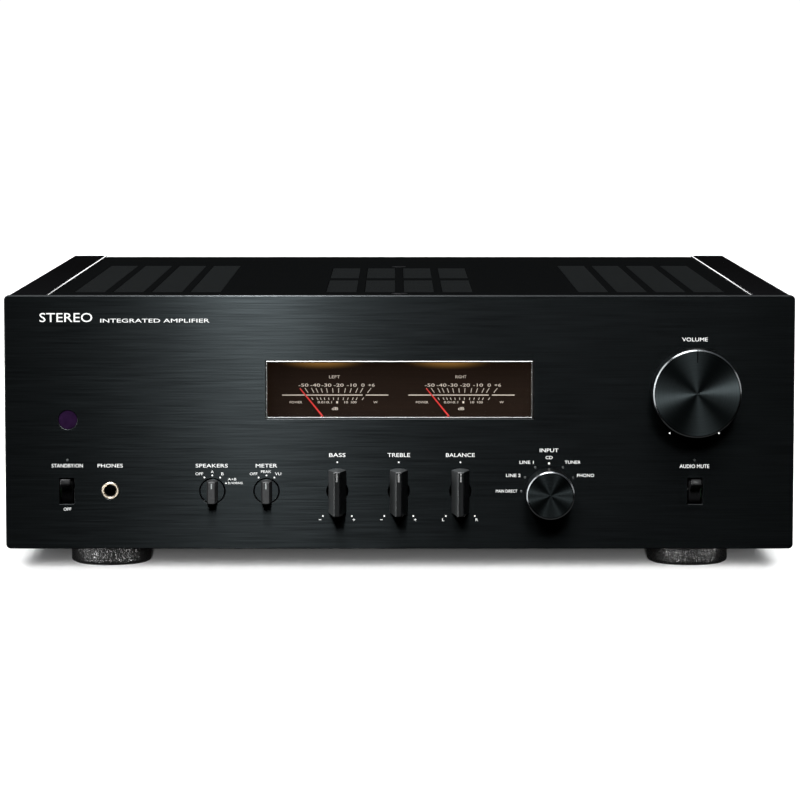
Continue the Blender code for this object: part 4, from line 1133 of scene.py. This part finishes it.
def standby_slider():
    lo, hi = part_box("standby_slider")
    centre = middle("standby_slider")
    plate_end = lo.y + 0.0012
    bm = bmesh.new()
    block(bm, lo, (hi.x, plate_end, hi.z), 0.0002, 2)
    block(bm, (centre.x - 0.0020, plate_end - 0.0004, centre.z - 0.0015),
          (centre.x + 0.0020, hi.y, centre.z + 0.0015), 0.0003, 3)
    for number in range(3):
        x = centre.x + (number - 1) * 0.0010
        block(bm, (x - 0.0002, hi.y - 0.0001, centre.z - 0.0012),
              (x + 0.0002, hi.y, centre.z + 0.0012))
    stand_in("standby_slider", bm, [PLASTIC], sharp=50)


def rear_lettering():
    bm = bmesh.new()
    top_z = JACK_CENTRE[1] + 0.0232
    names = ("PHONO", "CD", "TUNER", "LINE 1", "LINE 2", "MAIN IN", "PRE OUT", "LINE OUT")
    entries = [(text, JACK_START - number * JACK_PITCH, top_z, 0.0018, 0.0016 * len(text))
               for number, text in enumerate(names)]
    nut, slider, inlet = middle("ground_nut"), middle("standby_slider"), middle("ac_inlet")
    entries += [("GND", nut.x, top_z, 0.0018, 0.0050),
                ("SPEAKERS", POST_CENTRE[0], POST_CENTRE[1] + 0.0215, 0.0024, 0.0230),
                ("R", 0.108, POST_CENTRE[1] + 0.0215, 0.0022, 0.0020),
                ("L", -0.052, POST_CENTRE[1] + 0.0215, 0.0022, 0.0018),
                ("AUTO STANDBY", slider.x, slider.z + 0.0085, 0.0018, 0.0200),
                ("ON", slider.x + 0.0100, slider.z, 0.0015, 0.0032),
                ("OFF", slider.x - 0.0095, slider.z, 0.0015, 0.0042),
                ("AC IN", inlet.x, inlet.z + 0.0165, 0.0020, 0.0090)]
    words(bm, entries, REAR_SKIN, facing=1)
    finished("rear_lettering", bm, [WHITE_PRINT], "chassis", "cover_paint")


def carried_over():
    """The CAD nodes that stay in view or inside get their finish by material slot."""
    for node_name, obj in frame["nodes"].items():
        if obj.hide_render:
            continue
        obj.data.materials.clear()
        obj.data.materials.append(LOOK_OF_SLOT[SLOT_OF[node_name]])
        obj.data.shade_smooth()
        obj.data.set_sharp_from_angle(angle=math.radians(30))


# ---- floor, light and camera ----------------------------------------------------------------
FLOOR_REACH = 30.0


def floor():
    """A plain pale floor. Reflections and bounced light leave it out, as dark flags would."""
    look, tree, shader = new_look("pale_floor", (0.86, 0.86, 0.86), 0.0, 0.7,
                                  {"Specular IOR Level": 0.0})
    tint(tree, shader, noise(tree, (3, 3, 3)), (0.85, 0.85, 0.85), (0.87, 0.87, 0.87))
    reach = FLOOR_REACH
    mesh = bpy.data.meshes.new("floor")
    mesh.from_pydata([(-reach, -reach, 0), (reach, -reach, 0), (reach, reach, 0),
                      (-reach, reach, 0)], [], [(0, 1, 2, 3)])
    mesh.materials.append(look)
    obj = placed("floor", mesh)
    obj.visible_diffuse = False
    obj.visible_glossy = False


def aimed(obj, target):
    obj.rotation_mode = "QUATERNION"
    obj.rotation_quaternion = (Vector(target) - obj.location).to_track_quat("-Z", "Y")


def area_light(name, place, target, size, power):
    data = bpy.data.lights.new(name, "AREA")
    data.shape = "RECTANGLE"
    data.size, data.size_y = size
    data.energy = power
    obj = placed(name, data)
    obj.location = place
    aimed(obj, target)
    obj.visible_camera = False
    return obj


def sun_light(name, elevation, azimuth, angle, strength):
    """A soft sun. Azimuth 0 stands behind the camera, and 90 is to its left."""
    data = bpy.data.lights.new(name, "SUN")
    data.angle = math.radians(angle)
    data.energy = strength
    obj = placed(name, data)
    up, round_ = math.radians(elevation), math.radians(azimuth)
    obj.location = (-2 * math.sin(round_) * math.cos(up), -2 * math.cos(round_) * math.cos(up),
                    2 * math.sin(up))
    aimed(obj, (0, 0, 0))
    return obj


def only_on(light, names, state="INCLUDE"):
    """The light reaches only the named pieces, or with EXCLUDE all but them."""
    receivers = bpy.data.collections.new(light.name + "_receivers")
    for name in names:
        receivers.objects.link(bpy.data.objects[name])
    for row in receivers.collection_objects:
        row.light_linking.link_state = state
    light.light_linking.receiver_collection = receivers


PANEL_AIM_Y = -0.2
RIM_AIM = (0.15, -0.23, 0.09)


def beside(node_name, dx, dz, y=-1.0):
    """Where a control's own light stands, and the point that it is aimed at."""
    x, z = at(node_name)
    return (x + dx, y, z + dz), (x, PANEL_AIM_Y, z)


def surroundings():
    """White where the camera sees it, and a dim overhead sky for everything else."""
    world = bpy.data.worlds.new("studio")
    bpy.context.scene.world = world
    world.use_nodes = True
    tree = world.node_tree
    tree.nodes.clear()
    direction = node(tree, "TexCoord").outputs["Generated"]
    height = node(tree, "SeparateXYZ", {0: direction}).outputs["Z"]
    overhead = shades(tree, height, (0.003, 0.003, 0.003), (0.32, 0.34, 0.36), 0.35, 0.95)
    seen = node(tree, "Background", {"Color": (1, 1, 1, 1), "Strength": 1.05})
    around = node(tree, "Background", {"Color": overhead, "Strength": 1.0})
    path = node(tree, "LightPath")
    mixed = node(tree, "MixShader", {0: path.outputs["Is Camera Ray"],
                                     1: around.outputs[0], 2: seen.outputs[0]})
    out = node(tree, "OutputWorld", {"Surface": mixed.outputs[0]})
    out.is_active_output = True


def studio():
    """Each row is the kind of light, its name, the pieces it is linked to, and its settings."""
    knobs = detail(*TONE_KNOBS, *LEVERS)
    lit_apart = ["floor", "front_lettering", *knobs]
    ground = ["floor"]
    front_feet = detail(*[name for name in FEET if "front" in name])
    panel = detail("front_panel", *SELECTOR_KNOBS)
    trims = detail("side_trim_left", "side_trim_right")
    back = [obj.name for obj in bpy.data.objects
            if obj.type == "MESH" and obj.name.startswith(REAR)]
    sides = detail("side_panel_left", "side_panel_right")
    mute, power = detail("mute_lever"), detail("power_lever")
    volume, chooser = detail("volume_knob"), detail("input_knob")
    rounds = volume + chooser
    lights = [
        (sun_light, "soft_top", lit_apart, 62, 10, 50, 4.2),
        (sun_light, "print_front", ["front_lettering"], 5, 0, 8, 4.8),
        (area_light, "low_front", ground, (0, -4.2, 0.8), (0, 0, 0.8), (0.15, 1.6), 530),
        (sun_light, "mid_front", ground, 16, 0, 10, 6.4),
        (sun_light, "high_front", ground, 45, 0, 40, 5.3),
        (sun_light, "foot_left", front_feet, 6, 36, 8, 3.4),
        (sun_light, "foot_right", front_feet, 6, -46, 8, 3.4),
        (sun_light, "knob_top", knobs, 75, 60, 20, 5.5),
        (sun_light, "knob_left", knobs, 6, 80, 20, 2.8),
        (area_light, "panel_glow", panel,
         (-0.108, -1.0, 0.50), (-0.085, -0.2, 0.12), (0.07, 0.20), 10.5),
        (area_light, "panel_edge", panel,
         (-0.085, -0.40, 0.29), (-0.08, -0.2, 0.13), (0.05, 0.03), 1.6),
        (area_light, "panel_fill", panel,
         (0.16, -1.2, 0.62), (0.1, -0.2, 0.1), (0.30, 0.20), 3.2),
        (area_light, "left_box", lit_apart, (-1.5, -0.9, 0.45), (0, -0.2, 0.08), (0.8, 0.8), 30),
        (area_light, "top_box", lit_apart, (-0.35, -0.25, 1.4), (0, -0.2, 0.1), (0.9, 0.5), 14),
        (area_light, "front_strip", detail("meter_bezel"),
         (0, -1.0, 0.035), (0, -0.2, 0.09), (1.2, 0.06), 0.06),
        (area_light, "jack_strip", detail("phones_jack"),
         (-0.15, -1.0, 0.035), (-0.15, -0.2, 0.04), (0.5, 0.06), 0.55),
        (area_light, "trim_strip", trims, (0, 2.2, 0.36), (0, 0, 0.15), (1.6, 0.4), 4),
        (sun_light, "rear_left", back, 30, 215, 12, 3.0),
        (sun_light, "rear_right", back, 25, 150, 12, 2.0),
        (area_light, "side_left", sides, (-1.2, 0.3, 0.12), (-0.2, 0, 0.08), (0.8, 0.15), 26),
        (area_light, "side_right", sides, (1.2, 0.3, 0.12), (0.2, 0, 0.08), (0.8, 0.15), 26),
        (area_light, "rim_left", rounds, (-0.8, -0.25, 0.30), RIM_AIM, (0.5, 1.3), 8),
        (area_light, "rim_right", rounds, (1.0, -0.25, 0.25), RIM_AIM, (0.4, 0.4), 0.8),
        (area_light, "rim_low", rounds, (0.15, -0.26, 0.004), RIM_AIM, (0.3, 0.1), 0.012),
        (area_light, "rim_top", rounds, (0.0, -0.25, 0.9), RIM_AIM, (0.6, 0.4), 3),
        (area_light, "mute_lever_light", mute, *beside("mute_lever", 0, 0.45), (0.2, 0.2), 8),
        (area_light, "power_lever_light", power, *beside("power_lever", 0, 0.45), (0.2, 0.2), 2),
        (area_light, "volume_right", volume,
         *beside("volume_knob", 0.5, -0.02, -1.06), (0.16, 0.1), 3),
        (area_light, "volume_top", volume, *beside("volume_knob", 0, 0.5), (0.1, 0.1), 0.9)]
    for name, dx, dz, watts in (("input_right", 0.85, 0.04, 11), ("input_left", -0.85, 0.04, 13),
                                ("input_top_a", 0.38, 0.80, 9), ("input_top_b", -0.38, 0.80, 9)):
        lights.append((area_light, name, chooser, *beside("input_knob", dx, dz), (0.05, 0.05),
                       watts))
    for make, name, pieces, *settings in lights:
        only_on(make(name, *settings), pieces, "EXCLUDE" if pieces is lit_apart else "INCLUDE")


LENS_MM, SENSOR_MM, LENS_SHIFT = 165.8, 36.0, 0.0056
CAMERA_PLACE, CAMERA_DOWN = (-0.0022, -2.2295, 0.283), 5.194


def camera():
    bpy.context.scene.view_settings.view_transform = "Standard"
    data = bpy.data.cameras.new("camera")
    data.lens = LENS_MM
    data.sensor_width = SENSOR_MM
    data.shift_x = LENS_SHIFT
    data.clip_start, data.clip_end = 0.05, 80.0
    obj = placed("camera", data)
    obj.location = CAMERA_PLACE
    obj.rotation_euler = (math.radians(90 - CAMERA_DOWN), 0, 0)
    bpy.context.scene.camera = obj


def build():
    front_panel()
    front_lettering()
    meter_bezel()
    dial_prints()
    x, z = at("volume_knob")
    round_knob("volume_knob", spun("spun_volume_face", (x, 0, z), (0.035, 0.043, 0.045), 0.3),
               0.0007, notch=0.0070)
    x, z = at("input_knob")
    round_knob("input_knob", spun("spun_input_face", (x, 0, z), (0.035, 0.043, 0.045), 0.24),
               0.0006)
    tone_knobs()
    selector_knobs()
    levers()
    phones_jack()
    windows_and_lights()
    input_light_guide()
    top_cover()
    vent_grille()
    cover_screws()
    side_panels()
    feet()
    rear_panel()
    jack_block()
    speaker_posts()
    ac_inlet()
    standby_slider()
    rear_lettering()
    carried_over()
    floor()
    surroundings()
    studio()
    camera()


build()
